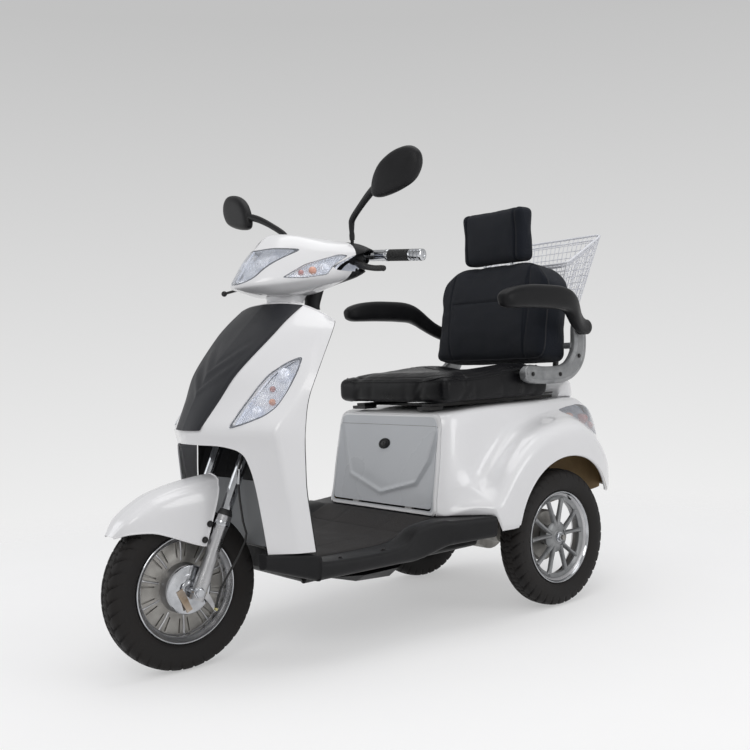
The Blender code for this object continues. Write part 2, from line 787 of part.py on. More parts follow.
REAR_BODY = (
    # y, lean, top z, top x, shoulder x, inner crease x, z, outer crease x, z, bottom z
    (0.118, 0.050, 0.600, 0.215, 0.228, 0.236, 0.450, 0.240, 0.360, 0.316),
    (0.145, 0.050, 0.606, 0.232, 0.246, 0.255, 0.440, 0.262, 0.350, 0.316),
    (0.200, 0.040, 0.609, 0.238, 0.252, 0.268, 0.420, 0.315, 0.365, 0.316),
    (0.2385, 0.030, 0.611, 0.240, 0.254, 0.272, 0.400, 0.362, 0.362, 0.316),
    (0.260, 0.024, 0.612, 0.240, 0.254, 0.272, 0.405, 0.368, 0.382, 0.262),
    (0.320, 0.010, 0.614, 0.240, 0.254, 0.272, 0.460, 0.370, 0.448, 0.262),
    (0.400, 0.0, 0.616, 0.240, 0.254, 0.270, 0.520, 0.370, 0.506, 0.270),
    (0.480, 0.0, 0.617, 0.240, 0.254, 0.270, 0.550, 0.370, 0.538, 0.280),
    (0.565, 0.0, 0.618, 0.240, 0.254, 0.272, 0.568, 0.370, 0.554, 0.290),
    (0.650, 0.0, 0.618, 0.236, 0.252, 0.274, 0.578, 0.368, 0.548, 0.300),
    (0.730, 0.0, 0.618, 0.228, 0.250, 0.274, 0.580, 0.355, 0.505, 0.305),
    (0.800, 0.0, 0.616, 0.205, 0.236, 0.266, 0.570, 0.330, 0.450, 0.310),
    (0.850, 0.0, 0.610, 0.165, 0.205, 0.238, 0.545, 0.292, 0.400, 0.315),
    (0.880, 0.0, 0.590, 0.110, 0.150, 0.180, 0.520, 0.220, 0.380, 0.320),
)


def rear_body_rings(wall=0.0):
    rings = []
    for y, lean, top, tx, sx, ix, iz, ox, oz, bottom in REAR_BODY:
        low = bottom if not wall else 0.15
        half = (
            (0, top - wall),
            (tx - wall / 2, top - wall),
            (sx - wall, top - 0.022 - wall / 2),
            (ix - wall, iz - wall),
            (max(ox - 0.030, ix) - wall, oz + 0.004 - wall),
            (ox - wall, oz - 0.024 - wall),
            (ox - wall, min(bottom + 0.02, oz - 0.032 - wall)),
            (ox - 0.008 - wall, low),
            (0, low),
        )
        ring = []
        for x, z in half:
            share = (z - bottom) / (top - bottom)
            ring.append((x, y + lean * share, z))
        ring += [(-x, yy, z) for x, yy, z in reversed(ring[1:-1])]
        rings.append(ring)
    if wall:
        rings[0] = [(x * 0.97, y + wall, z) for x, y, z in rings[0]]
        rings[-1] = [(x * 0.97, y - wall, z) for x, y, z in rings[-1]]
    return rings


def hatch_frame():
    """The hatch's plane: origin at its lower edge, local X across, Z up the leaning face, Y inwards."""
    front_y, lean_y, top_z = REAR_BODY[0][:3]
    slope = lean_y / (top_z - BODY_BOTTOM_Z)
    y = front_y + (HATCH_BOTTOM_Z - BODY_BOTTOM_Z) * slope
    return Matrix.Translation((0, y, HATCH_BOTTOM_Z)) @ Matrix.Rotation(-math.atan(slope), 4, "X")


def hatch_block(name, half, low, high, depth, front, look, bevel=0.0):
    obj = block(name, (-half, front, low), (half, front + depth, high), look, bevel)
    obj.data.transform(hatch_frame())
    return obj


# y, z round a tail lamp, seen from the side
TAIL_LAMP = (
    (0.640, 0.585), (0.690, 0.590), (0.760, 0.594), (0.815, 0.586), (0.850, 0.560), (0.856, 0.525),
    (0.835, 0.490),
    (0.790, 0.500), (0.735, 0.522), (0.680, 0.555),
)


def build_rear_body(root):
    body = loft("rear_body", rear_body_rings(), "white_paint")
    cavity = loft("cavity", rear_body_rings(BODY_WALL), "white_paint")
    divide = 0.238
    wall_x = 0.246
    cutters = []
    inner = combine(
        cavity, "INTERSECT", [block("middle", (-divide, 0, 0.1), (divide, 0.874, 0.9), "white_paint")]
    )
    cutters.append(inner)
    for side, sign in SIDES:
        well = loft("well_" + side, rear_body_rings(BODY_WALL), "white_paint")
        drum = rod(
            "drum_" + side,
            (sign * wall_x, ARCH_Y, ARCH_Z),
            (sign * 0.5, ARCH_Y, ARCH_Z),
            FENDER_RADIUS - BODY_WALL,
            "white_paint",
            44,
        )
        cutters.append(combine(well, "INTERSECT", [drum]))
        arch = rod(
            "arch_" + side,
            (sign * wall_x, ARCH_Y, ARCH_Z),
            (sign * 0.5, ARCH_Y, ARCH_Z),
            ARCH_RADIUS,
            "white_paint",
            44,
        )
        cutters.append(arch)
    hole = HATCH_HALF_WIDTH + HATCH_GAP
    cutters.append(
        hatch_block("hatch_hole", hole, -HATCH_GAP, HATCH_HEIGHT + HATCH_GAP, 0.06, -0.02, "white_paint")
    )
    for side, sign in SIDES:
        cutters.append(outline_plate("lamp_hole", [list(TAIL_LAMP)], sign * 0.30, 0.20, "white_paint"))
    attach(cut(body, cutters), root)

    for side, sign in SIDES:
        skin = loft("tail_lamp_" + side, rear_body_rings(-LENS_RISE), "clear_lens")
        edge = outline_plate("edge", [shrunk(list(TAIL_LAMP), SEAT_GAP * 2)], sign * 0.30, 0.20, "clear_lens")
        lamp = combine(skin, "INTERSECT", [edge])
        core = loft("core", rear_body_rings(BODY_WALL * 0.8), "clear_lens")
        attach(cut(lamp, [core]), root)

    hatch = joint_empty("hatch", hatch_frame() @ Vector((0, 0, 0)), root)
    panel = hatch_block("seat_box_hatch", HATCH_HALF_WIDTH, 0, HATCH_HEIGHT, HATCH_WALL, 0, "white_paint")
    lugs = []
    for sign in (-1, 1):
        lug = block(
            "lug", (sign * 0.12 - 0.015, BODY_WALL + SEAT_GAP, -0.012), (sign * 0.12 + 0.015, 0.012, 0.012),
            "white_paint"
        )
        lug.data.transform(hatch_frame())
        lugs.append(lug)
    attach(fuse("seat_box_hatch", [panel] + lugs, "white_paint"), hatch)
    lock = rod("lock", (0, -0.008, LOCK_HEIGHT), (0, -SEAT_GAP, LOCK_HEIGHT), 0.013, "black_plastic", 20)
    lock.name = "hatch_lock"
    lock.data.transform(hatch_frame())
    attach(lock, hatch)

    attach(
        block("battery_pack", (-0.170, 0.200, BODY_BOTTOM_Z), (0.170, 0.400, 0.500), "black_plastic", 0.006),
        root,
    )


# Seat


def build_seat(root):
    rails = []
    rail_y0, rail_y1 = 0.185, 0.735
    rail_z = 0.6185 + SEAT_GAP
    rail_top = rail_z + 0.010
    for sign in (-1, 1):
        x = sign * RUNNER_X
        low, high = rail_z + 0.001, rail_top
        rails.append(block("rail", (x - 0.018, rail_y0, low), (x + 0.018, rail_y1, high), "black_steel"))
        rails.append(block(
            "foot", (x - 0.030, rail_y0 - 0.008, 0.6112), (x + 0.030, 0.225, low + 0.001), "black_steel"
        ))
    for y in (0.26, 0.66):
        rails.append(block("strap", (-0.160, y, rail_z), (0.160, y + 0.03, rail_z + 0.006), "black_steel"))
    attach(fuse("seat_rails", rails, "black_steel"), root)

    seat = joint_empty("seat", (0, SEAT_FRONT_Y, SEAT_BOTTOM_Z), root)
    bottom = SEAT_BOTTOM_Z
    attach(build_cushion(bottom + 0.006), seat)
    pan = [block("seat_pan", (-0.20, 0.20, bottom), (0.20, 0.70, bottom + 0.0055), "black_steel")]
    for sign in (-1, 1):
        x, low = sign * RUNNER_X, rail_top + SEAT_GAP
        pan.append(block("runner", (x - 0.014, 0.25, low), (x + 0.014, 0.65, bottom + 0.001), "black_steel"))
    attach(fuse("seat_pan", pan, "black_steel"), seat)

    foot = Vector((0, 0.585, 0.745))
    tilt = Matrix.Translation(foot) @ Matrix.Rotation(-BACK_LEAN, 4, "X")
    back = block(
        "backrest", (-BACK_HALF_WIDTH, 0, 0), (BACK_HALF_WIDTH, BACK_THICKNESS, BACK_HEIGHT),
        "black_fabric", 0.030, 3
    )
    back.data.transform(tilt)
    head_y = HEADREST_FRONT_Y
    head = block(
        "headrest",
        (-HEADREST_HALF_WIDTH, head_y, HEADREST_BOTTOM_Z),
        (HEADREST_HALF_WIDTH, head_y + HEADREST_THICKNESS, HEADREST_BOTTOM_Z + HEADREST_HEIGHT),
        "black_fabric",
        0.022,
        3,
    )
    post_y = head_y + HEADREST_THICKNESS / 2
    posts = []
    post_low = HEADREST_BOTTOM_Z - 0.040
    post_high = HEADREST_BOTTOM_Z + 0.060
    for sign in (-1, 1):
        x = sign * POST_HALF_SPACING
        posts.append(rod("post", (x, post_y, post_low), (x, post_y, post_high), POST_RADIUS, "chrome", 16))
    posts.append(
        rod(
            "post_bar",
            (-POST_HALF_SPACING, post_y, post_high),
            (POST_HALF_SPACING, post_y, post_high),
            POST_RADIUS,
            "chrome",
            16,
        )
    )
    post = fuse("headrest_posts", posts, "chrome")
    pockets = []
    wide = POST_RADIUS + SEAT_GAP
    for sign in (-1, 1):
        x = sign * POST_HALF_SPACING
        pockets.append(
            rod("pocket", (x, post_y, post_low - SEAT_GAP), (x, post_y, post_high), wide, "chrome", 16)
        )
    end = POST_HALF_SPACING + wide
    pockets.append(
        block(
            "pocket_bar",
            (-end, post_y - wide, post_high - wide),
            (end, post_y + wide, post_high + wide),
            "chrome",
        )
    )
    pockets = fuse("pockets", pockets, "chrome")
    twin = new_object("pockets_twin", pockets.data.copy(), "chrome")
    back = cut(back, [twin])
    head = cut(head, [pockets])
    attach(back, seat)
    attach(head, seat)
    attach(post, seat)
    for side, sign in SIDES:
        attach(build_bracket("armrest_bracket_" + side, sign), seat)


def build_cushion(bottom):
    """A low front that rises to side wings beside the backrest."""
    # share of the length, share of the half width, nose lift, share of the rise
    stations = (
        (0, 0.90, 0.020, -0.3), (0.05, 0.98, 0.0, 0), (0.45, 1, 0, 0.1), (0.72, 1, 0, 1), (1, 1, 0, 1)
    )
    rings = []
    for along, wide, nose, rise in stations:
        y = SEAT_FRONT_Y + SEAT_LENGTH * along
        half = SEAT_HALF_WIDTH * wide
        middle = bottom + CUSHION_HEIGHT - 0.006
        wing = middle + CUSHION_RISE * rise
        top = [(half, y, wing - 0.018), (half - 0.018, y, wing), (half * 0.62, y, middle)]
        low = [(half - 0.015, y, bottom + nose), (half, y, bottom + nose + 0.015)]
        right = low + top
        rings.append(right + [(-x, yy, z) for x, yy, z in reversed(right)])
    return loft("seat_cushion", rings, "black_vinyl")


def build_bracket(name, sign):
    """The curved plate that joins the seat, the backrest and the armrest, with its bolts' bosses inside."""
    # y, z along the middle of the bracket, half width
    spine = (
        (0.500, 0.705, 0.027), (0.600, 0.696, 0.027), (0.690, 0.704, 0.028), (0.742, 0.755, 0.032),
        (0.750, 0.848, 0.030)
    )
    path = smooth_path(spine, 4)
    outer, inner = [], []
    for i, p in enumerate(path):
        a, b = path[max(i - 1, 0)], path[min(i + 1, len(path) - 1)]
        along = (b - a).xy.normalized()
        outer.append((p.x + along.y * p.z, p.y - along.x * p.z))
        inner.append((p.x - along.y * p.z, p.y + along.x * p.z))
    pieces = [outline_plate(name, [outer + inner[::-1]], sign * BRACKET_X, BRACKET_WIDTH, "silver_paint")]
    for y, z, reach in ((0.530, 0.682, SEAT_HALF_WIDTH), (0.715, 0.785, BACK_HALF_WIDTH)):
        pieces.append(rod(
            "boss", (sign * (reach + SEAT_GAP), y, z), (sign * BRACKET_X, y, z), 0.010, "silver_paint", 12
        ))
    return fuse(name, pieces, "silver_paint")


# y, z round the armrest's pad, seen from the side
ARM_PAD = (
    (0.299, 0.934), (0.343, 0.952), (0.436, 0.966), (0.566, 0.965), (0.602, 0.951), (0.610, 0.927),
    (0.592, 0.902),
    (0.490, 0.896), (0.401, 0.897), (0.335, 0.895), (0.306, 0.906),
)


def build_armrests(root):
    """Each arm is a pad whose elbow runs down and inwards to a boss on the bracket's outer face."""
    seat = bpy.data.objects["seat"]
    for side, sign in SIDES:
        pivot = Vector((sign * ARM_PIVOT_X, ARM_PIVOT_Y, ARM_PIVOT_Z))
        hinge = joint_empty("armrest_hinge_" + side, pivot, seat)
        pad = outline_plate("pad", [list(ARM_PAD)], sign * ARM_X, ARM_WIDTH, "black_plastic")
        boss_in = BRACKET_X + BRACKET_WIDTH / 2 + SEAT_GAP
        boss_out = boss_in + 0.034
        pieces = [
            rod(
                "boss", (sign * boss_in, pivot.y, pivot.z), (sign * boss_out, pivot.y, pivot.z), 0.024,
                "black_plastic"
            ),
            rod(
                "upper", (sign * ARM_X, 0.585, 0.928), (sign * (ARM_X - 0.018), 0.665, 0.888), 0.022,
                "black_plastic", 12
            ),
            rod(
                "lower", (sign * (ARM_X - 0.016), 0.655, 0.893), pivot + Vector((sign * 0.008, 0, 0)),
                0.018, "black_plastic", 12
            ),
        ]
        attach(fuse("armrest_" + side, [pad] + pieces, "black_plastic"), hinge)


# Basket


def build_basket(root):
    columns, depth_rows, height_rows = 6, 4, 5
    bottom_half, bottom_front, bottom_rear, bottom_z = 0.150, 0.815, 0.930, 0.935
    front_top, rear_top = 1.060, 1.165
    bm = bmesh.new()

    def corner(u, v, w):
        """u across, v front to rear, w bottom to top, each 0 to 1."""
        half = bottom_half + (BASKET_HALF_WIDTH - bottom_half) * w
        front = bottom_front + (BASKET_FRONT_Y - bottom_front) * w
        rear = bottom_rear + (BASKET_REAR_Y - bottom_rear) * w
        top = front_top + (rear_top - front_top) * v
        return ((2 * u - 1) * half, front + (rear - front) * v, bottom_z + (top - bottom_z) * w)

    def face_grid(count_a, count_b, place):
        grid = [
            [bm.verts.new(place(a / count_a, b / count_b)) for b in range(count_b + 1)]
            for a in range(count_a + 1)
        ]
        for a in range(count_a):
            for b in range(count_b):
                bm.faces.new((grid[a][b], grid[a + 1][b], grid[a + 1][b + 1], grid[a][b + 1]))

    face_grid(columns, depth_rows, lambda a, b: corner(a, b, 0))
    face_grid(columns, height_rows, lambda a, b: corner(a, 0, b))
    face_grid(columns, height_rows, lambda a, b: corner(a, 1, b))
    face_grid(depth_rows, height_rows, lambda a, b: corner(0, a, b))
    face_grid(depth_rows, height_rows, lambda a, b: corner(1, a, b))
    bmesh.ops.remove_doubles(bm, verts=bm.verts, dist=1e-5)
    bmesh.ops.recalc_face_normals(bm, faces=bm.faces)
    mesh = bpy.data.meshes.new("basket")
    bm.to_mesh(mesh)
    bm.free()
    basket = new_object("basket", mesh, "white_wire", 0)
    wires = basket.modifiers.new("wires", "WIREFRAME")
    wires.thickness = BASKET_WIRE
    wires.use_even_offset = False
    wires.use_replace = True
    wires.use_boundary = True
    attach(basket, root)

    cap = []
    # y, half width, bottom z, top z
    for y, half, low, high in (
        (0.745, 0.190, 0.6184, 0.6450), (0.800, 0.190, 0.6165, CAP_TOP_Z), (0.852, 0.150, 0.6105, CAP_TOP_Z)
    ):
        cap.append([(-half, y, low), (half, y, low), (half - 0.006, y, high), (-half + 0.006, y, high)])
    attach(loft("tail_cap", cap, "white_paint"), root)

    foot_z = CAP_TOP_Z + SEAT_GAP + RACK_LEAN_DROP
    rack = fuse(
        "basket_rack",
        [
            rod("post_left", (0.10, 0.838, foot_z), (0.10, 0.872, 0.928), 0.010, "black_steel"),
            rod("post_right", (-0.10, 0.838, foot_z), (-0.10, 0.872, 0.928), 0.010, "black_steel"),
            rod("bar", (-0.13, 0.872, 0.9247), (0.13, 0.872, 0.9247), 0.008, "black_steel"),
        ],
        "black_steel",
    )
    attach(rack, root)


# Steering


def build_fork(steering):
    low_yoke = -0.33
    pieces = [rod("stem", on_head(low_yoke), on_head(0.10), STEM_RADIUS, "black_steel", 20)]
    yoke = on_head(low_yoke)
    axle = Vector((0, -AXLE_Y, TYRE_RADIUS))
    offset = axle - HEAD_POINT
    along = offset.dot(STEER_AXIS)
    slider_top = along + SLIDER_LENGTH
    pieces.append(
        rod("yoke", yoke + Vector((-0.088, 0, 0)), yoke + Vector((0.088, 0, 0)), 0.020, "black_steel", 16)
    )
    for sign in (-1, 1):
        side = Vector((sign * FORK_HALF_SPACING, 0, 0))
        bottom = HEAD_POINT + STEER_AXIS * (slider_top + SEAT_GAP) + side
        pieces.append(rod("tube", bottom, yoke + STEER_AXIS * 0.01 + side, FORK_TUBE_RADIUS, "chrome", 16))
    attach(fuse("fork", pieces, "chrome"), steering)
    for side, sign in SIDES:
        shift = Vector((sign * FORK_HALF_SPACING, 0, 0))
        top = HEAD_POINT + STEER_AXIS * slider_top + shift
        bottom = HEAD_POINT + STEER_AXIS * (along - 0.02) + shift
        slider = rod("fork_slider_" + side, bottom, top, SLIDER_RADIUS, "alloy", 20)
        eye = rod(
            "eye", axle - Vector((0.2, 0, 0)), axle + Vector((0.2, 0, 0)), AXLE_RADIUS + SEAT_GAP, "alloy",
            24
        )
        attach(cut(slider, [eye]), steering)


CABLE_TOP = on_head(0.008, 0.040)
ARM_ROD_RADIUS = 0.005


def build_front_hub(steering):
    """The axle, the drum brake's plate with its arm on the left, and the cable that pulls the arm."""
    axle = Vector((0, -AXLE_Y, TYRE_RADIUS))
    half = FORK_HALF_SPACING + SLIDER_RADIUS + 0.012
    attach(
        rod("front_axle", axle - Vector((half, 0, 0)), axle + Vector((half, 0, 0)), AXLE_RADIUS, "chrome", 24),
        steering,
    )
    plate_x = 0.036 + RUN_GAP
    plate = rod("plate", (plate_x, axle.y, axle.z), (plate_x + 0.006, axle.y, axle.z), 0.062, "chrome", 32)
    arm_pin = Vector((plate_x, axle.y + 0.036, axle.z - 0.012))
    arm_end = arm_pin + Vector((0.0085, 0.030, -0.048))
    pieces = [
        rod("pin", arm_pin, arm_pin + Vector((0.012, 0, 0)), 0.007, "chrome", 12),
        rod("arm", arm_pin + Vector((0.0085, 0, 0)), arm_end, ARM_ROD_RADIUS, "chrome", 12),
    ]
    made = fuse("front_brake_plate", [plate] + pieces, "chrome")
    hole = rod(
        "hole", axle - Vector((0.1, 0, 0)), axle + Vector((0.1, 0, 0)), AXLE_RADIUS + SEAT_GAP, "chrome", 24
    )
    attach(cut(made, [hole]), steering)
    yoke_side = FORK_HALF_SPACING + 0.034
    route = smooth_path(
        (
            arm_end + Vector((ARM_ROD_RADIUS + CABLE_RADIUS + SEAT_GAP, 0, -0.004)),
            arm_end + Vector((0.014, 0.012, 0.050)),
            (0.098, -0.418, 0.312),
            (0.100, -0.423, 0.366),
            (yoke_side, -0.434, 0.449),
            (yoke_side, -0.424, 0.524),
            on_head(-0.33, yoke_side),
            on_head(-0.22, 0.066),
            on_head(-0.10, 0.044),
            on_head(-0.030, CABLE_TOP.x),
            CABLE_TOP,
        ),
        3,
    )
    attach(pipe("front_brake_cable", route, CABLE_RADIUS, "cable_rubber", 1), steering)


def build_front_fender(steering):
    # top angle from upright about the axle, clearance over the tyre, the same for the skirt, half width
    sections = (
        (-50.2, 0.0407, -50.3, 0.0351, 0.022),
        (-37.2, 0.0477, -43.5, 0.0172, 0.048),
        (-21.3, 0.0516, -32.6, -0.0174, 0.060),
        (-8.2, 0.0567, -22.3, -0.0493, 0.064),
        (3.9, 0.0666, -8.7, -0.0765, 0.065),
        (13.6, 0.0801, 7.7, -0.0910, 0.065),
        (19.9, 0.0896, 20.9, -0.0925, 0.064),
    )
    def over_tyre(degrees, clearance):
        reach = TYRE_RADIUS + clearance
        turn = math.radians(degrees)
        return -AXLE_Y + reach * math.sin(turn), TYRE_RADIUS + reach * math.cos(turn)

    rows = []
    for top_angle, top_clearance, skirt_angle, skirt_clearance, half in sections:
        ty, tz = over_tyre(top_angle, top_clearance)
        sy, sz = over_tyre(skirt_angle, skirt_clearance)
        rows.append(
            mirrored(
                [
                    (0, ty, tz),
                    (half * 0.45, ty, tz - 0.004),
                    (half * 0.80, ty * 0.95 + sy * 0.05, tz * 0.88 + sz * 0.12),
                    (half, ty * 0.65 + sy * 0.35, tz * 0.62 + sz * 0.38),
                    (half, sy, sz),
                ]
            )
        )
    attach(shell("front_fender", rows, -PANEL_WALL, "white_paint"), steering)


def build_handlebar(steering):
    points = [
        (-BAR_HALF_WIDTH + 0.004, -0.003, 1.034),
        (-0.22, -0.028, 1.046),
        (-0.10, BAR_MIDDLE_Y, 1.050),
        (0.10, BAR_MIDDLE_Y, 1.050),
        (0.22, -0.028, 1.046),
        (BAR_HALF_WIDTH - 0.004, -0.003, 1.034),
    ]
    bar = as_mesh(pipe("handlebar", points, BAR_RADIUS, "chrome", 3))
    attach(bar, steering)
    for side, sign in SIDES:
        start = Vector((sign * GRIP_START_X, -0.0252, 1.0447))
        end = Vector((sign * BAR_HALF_WIDTH, -0.003 + 0.0007, 1.034 - 0.0003))
        grip = rod("grip", start, end, GRIP_RADIUS, "grip_rubber", 20)
        run = (Vector(points[-1]) - Vector(points[-2])).normalized()
        a = Vector((sign * 0.20, -0.028 - 0.02 * run.y / run.x, 1.046 - 0.02 * run.z / run.x))
        b = Vector((sign * (BAR_HALF_WIDTH - 0.0037), -0.003, 1.034))
        grip = cut(grip, [rod("grip_bore", a, b, BAR_RADIUS + SEAT_GAP, "grip_rubber", 20)])
        grip.name = "grip_" + side
        attach(grip, steering)


# Nacelle

NACELLE = (
    # x, then (y, z) round the side view: front tip, lamp top, screen top, rear top, rear foot,
    # neck rear, neck front
    (0.000, (
        (-0.365, 0.968), (-0.315, 1.045), (-0.242, 1.122), (-0.115, 1.112), (-0.090, 1.030),
        (-0.130, 0.950), (-0.255, 0.945)
    )),
    (0.060, (
        (-0.335, 0.972), (-0.290, 1.042), (-0.222, 1.112), (-0.105, 1.108), (-0.075, 1.028),
        (-0.120, 0.952), (-0.240, 0.946)
    )),
    (0.120, (
        (-0.235, 0.985), (-0.210, 1.030), (-0.165, 1.085), (-0.080, 1.095), (-0.045, 1.030),
        (-0.085, 0.975), (-0.180, 0.965)
    )),
    (0.170, (
        (-0.150, 1.000), (-0.135, 1.035), (-0.105, 1.072), (-0.055, 1.085), (-0.030, 1.035),
        (-0.050, 0.995), (-0.115, 0.985)
    )),
    (0.205, (
        (-0.085, 1.030), (-0.080, 1.045), (-0.070, 1.060), (-0.045, 1.066), (-0.030, 1.045),
        (-0.045, 1.022), (-0.070, 1.020)
    )),
)


# x, z round the lamps as seen from the front: the headlamp from side to side, the turn lamp at the left
HEADLAMP = (
    (0.000, 0.975), (0.030, 0.979), (0.053, 0.990), (0.065, 1.018), (0.083, 1.044), (0.105, 1.069),
    (0.060, 1.074),
    (0.000, 1.071), (-0.060, 1.074), (-0.105, 1.069), (-0.083, 1.044), (-0.065, 1.018), (-0.053, 0.990),
    (-0.030, 0.979),
)
TURN_LAMP = (
    (0.096, 0.990), (0.120, 1.026), (0.165, 1.051), (0.182, 1.047), (0.167, 1.024), (0.159, 0.996),
    (0.126, 0.988),
)
# x, y in plan of the lamps' flat backs: the headlamp's at the middle, the turn lamp's at the left
HEADLAMP_BACK = ((-0.15, -0.120), (-0.05, -0.225), (0.05, -0.225), (0.15, -0.120))
TURN_LAMP_BACK = ((0.05, -0.225), (0.25, -0.035))
LENS_RISE = 0.002
MIRROR_FOOT = Vector((0.155, -0.073, 1.071))
MIRROR_STEM_RADIUS = 0.006


def nacelle_loft(name, grow, look):
    """The nacelle's outer form, grown outwards on its front by this much."""
    half = []
    for x, loop in NACELLE:
        middle_y = sum(y for y, z in loop) / len(loop)
        middle_z = sum(z for y, z in loop) / len(loop)
        ring = []
        for y, z in loop:
            out = Vector((y - middle_y, z - middle_z)).normalized() * grow
            ring.append((x, y + out.x, z + out.y))
        half.append(ring)
    rings = [[(-x, y, z) for x, y, z in ring] for ring in reversed(half[1:])] + half
    return loft(name, rings, look)


def lamp_prism(name, outline, back, gap):
    """A prism along Y from an outline of (x, z), ending this gap ahead of the back, a line in plan."""
    plan = [(back[0][0], -0.6), (back[-1][0], -0.6)] + [(x, y - gap) for x, y in reversed(back)]
    room = loft("room", [[(x, y, z) for x, y in plan] for z in (0.9, 1.2)], "clear_lens")
    prism = as_mesh(front_plate(name, outline, -0.3, 0.6))
    return combine(prism, "INTERSECT", [room])


def build_nacelle(steering):
    split_low, split_high = Vector((0, -0.118, 0.930)), Vector((0, -0.076, 1.130))
    lean = math.atan2(split_high.y - split_low.y, split_high.z - split_low.z)
    turn = Matrix.Translation(split_low) @ Matrix.Rotation(-lean, 4, "X")
    bar_radius = BAR_RADIUS + 0.0018
    hollows = [
        rod("stem_hole", on_head(-0.2), on_head(0.103), STEM_RADIUS + SEAT_GAP, "white_paint", 20),
        rod(
            "bar_hole", (-0.105, BAR_MIDDLE_Y, 1.05), (0.105, BAR_MIDDLE_Y, 1.05), bar_radius,
            "white_paint", 20
        ),
    ]
    for side, sign in SIDES:
        inner = (sign * 0.098, BAR_MIDDLE_Y, 1.05)
        hollows.append(
            rod("bar_" + side, inner, (sign * 0.24, -0.0135, 1.0455), bar_radius, "white_paint", 20)
        )
    for side, sign in SIDES:
        foot = MIRROR_FOOT * Vector((sign, 1, 1)) - Vector((0, 0, SEAT_GAP))
        hollows.append(rod(
            "mirror_" + side, foot, foot + Vector((0, 0, 0.06)), MIRROR_STEM_RADIUS + SEAT_GAP,
            "white_paint"
        ))
    whole = cut(nacelle_loft("nacelle", 0.0, "white_paint"), hollows)
    twin = new_object("dash_cover", whole.data.copy(), "black_plastic")
    front_half = block("front_half", (-0.4, -0.6, -0.2), (0.4, 0, 0.4), "white_paint")
    front_half.data.transform(turn)
    rear_half = block("rear_half", (-0.4, SEAT_GAP, -0.2), (0.4, 0.4, 0.4), "white_paint")
    rear_half.data.transform(turn)

    lamps = [("headlamp", HEADLAMP, HEADLAMP_BACK)]
    for side, sign in SIDES:
        back = [(sign * x, y) for x, y in TURN_LAMP_BACK]
        lamps.append(("turn_lamp_" + side, [(sign * x, z) for x, z in TURN_LAMP], back))
    holes = []
    for name, outline, back in lamps:
        lamp = nacelle_loft(name, LENS_RISE, "clear_lens")
        edge = lamp_prism("edge", shrunk(list(outline), SEAT_GAP * 2), back, SEAT_GAP)
        attach(combine(lamp, "INTERSECT", [edge]), steering)
        holes.append(lamp_prism("hole", list(outline), back, 0.0))
    socket = CABLE_RADIUS + SEAT_GAP
    holes.append(rod(
        "cable_hole", CABLE_TOP - STEER_AXIS * 0.03, CABLE_TOP + STEER_AXIS * 0.002, socket, "white_paint",
        12
    ))
    attach(combine(cut(whole, holes), "INTERSECT", [front_half]), steering)
    attach(combine(twin, "INTERSECT", [rear_half]), steering)


def build_controls(steering):
    for side, sign in SIDES:
        lever_end = BAR_HALF_WIDTH - LEVER_INSET
        lever = [
            (sign * LEVER_X, -0.0410, 1.0445),
            (sign * LEVER_X, -0.0520, 1.0445),
            (sign * (LEVER_X + 0.002), -0.070, 1.018),
            (sign * (LEVER_X + lever_end) / 2, -0.084, 1.005),
            (sign * lever_end, -0.085, 1.002),
        ]
        attach(pipe("brake_lever_" + side, smooth_path(lever, 3), LEVER_RADIUS, "black_steel", 2), steering)
        stem = [
            MIRROR_FOOT * Vector((sign, 1, 1)),
            (sign * MIRROR_FOOT.x, MIRROR_FOOT.y, 1.092),
            (sign * MIRROR_FOOT.x, MIRROR_FOOT.y, 1.112),
            (sign * 0.200, -0.080, 1.185),
            (sign * 0.335, -0.102, 1.232),
        ]
        stem_obj = as_mesh(pipe("stem_" + side, smooth_path(stem, 3), MIRROR_STEM_RADIUS, "black_steel", 2))
        bm = bmesh.new()
        bmesh.ops.create_uvsphere(bm, u_segments=16, v_segments=8, radius=1)
        bmesh.ops.scale(bm, vec=(0.084, 0.015, 0.055), verts=bm.verts)
        bmesh.ops.rotate(
            bm, cent=(0, 0, 0), matrix=Matrix.Rotation(math.radians(-25 * sign), 3, "Y"), verts=bm.verts
        )
        bmesh.ops.translate(bm, vec=(sign * 0.372, -0.104, 1.240), verts=bm.verts)
        head = from_bmesh("mirror_head_" + side, bm, "black_plastic")
        attach(fuse("mirror_" + side, [head, stem_obj], "black_plastic"), steering)


clear_scene()
PARTS = make_collection("electric_passenger_tricycle")
MATERIALS = make_looks()
ROOT = joint_empty("tricycle", (0, 0, 0), None)
STEERING = joint_empty("steering", HEAD_POINT, ROOT)
build_chassis(ROOT)
build_shield(ROOT)
build_splash_panel(ROOT)
build_floor(ROOT)
build_rear_body(ROOT)
build_seat(ROOT)
build_armrests(ROOT)
build_basket(ROOT)
build_fork(STEERING)
build_front_hub(STEERING)
build_front_fender(STEERING)
build_handlebar(STEERING)
build_nacelle(STEERING)
build_controls(STEERING)
build_wheels(ROOT, STEERING)
ROOT.location.y = -ORIGIN_Y
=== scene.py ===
"""Looks for the electric passenger tricycle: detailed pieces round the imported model, floor, light and camera.

Every place below is in metres from a datum midway between the axles on the floor, as in the part's source;
`piece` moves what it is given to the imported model's frame. The front faces -Y and the rider's left is +X.
"""

import json
import math

import bmesh
import bpy
from mathutils import Matrix, Vector, bvhtree, noise

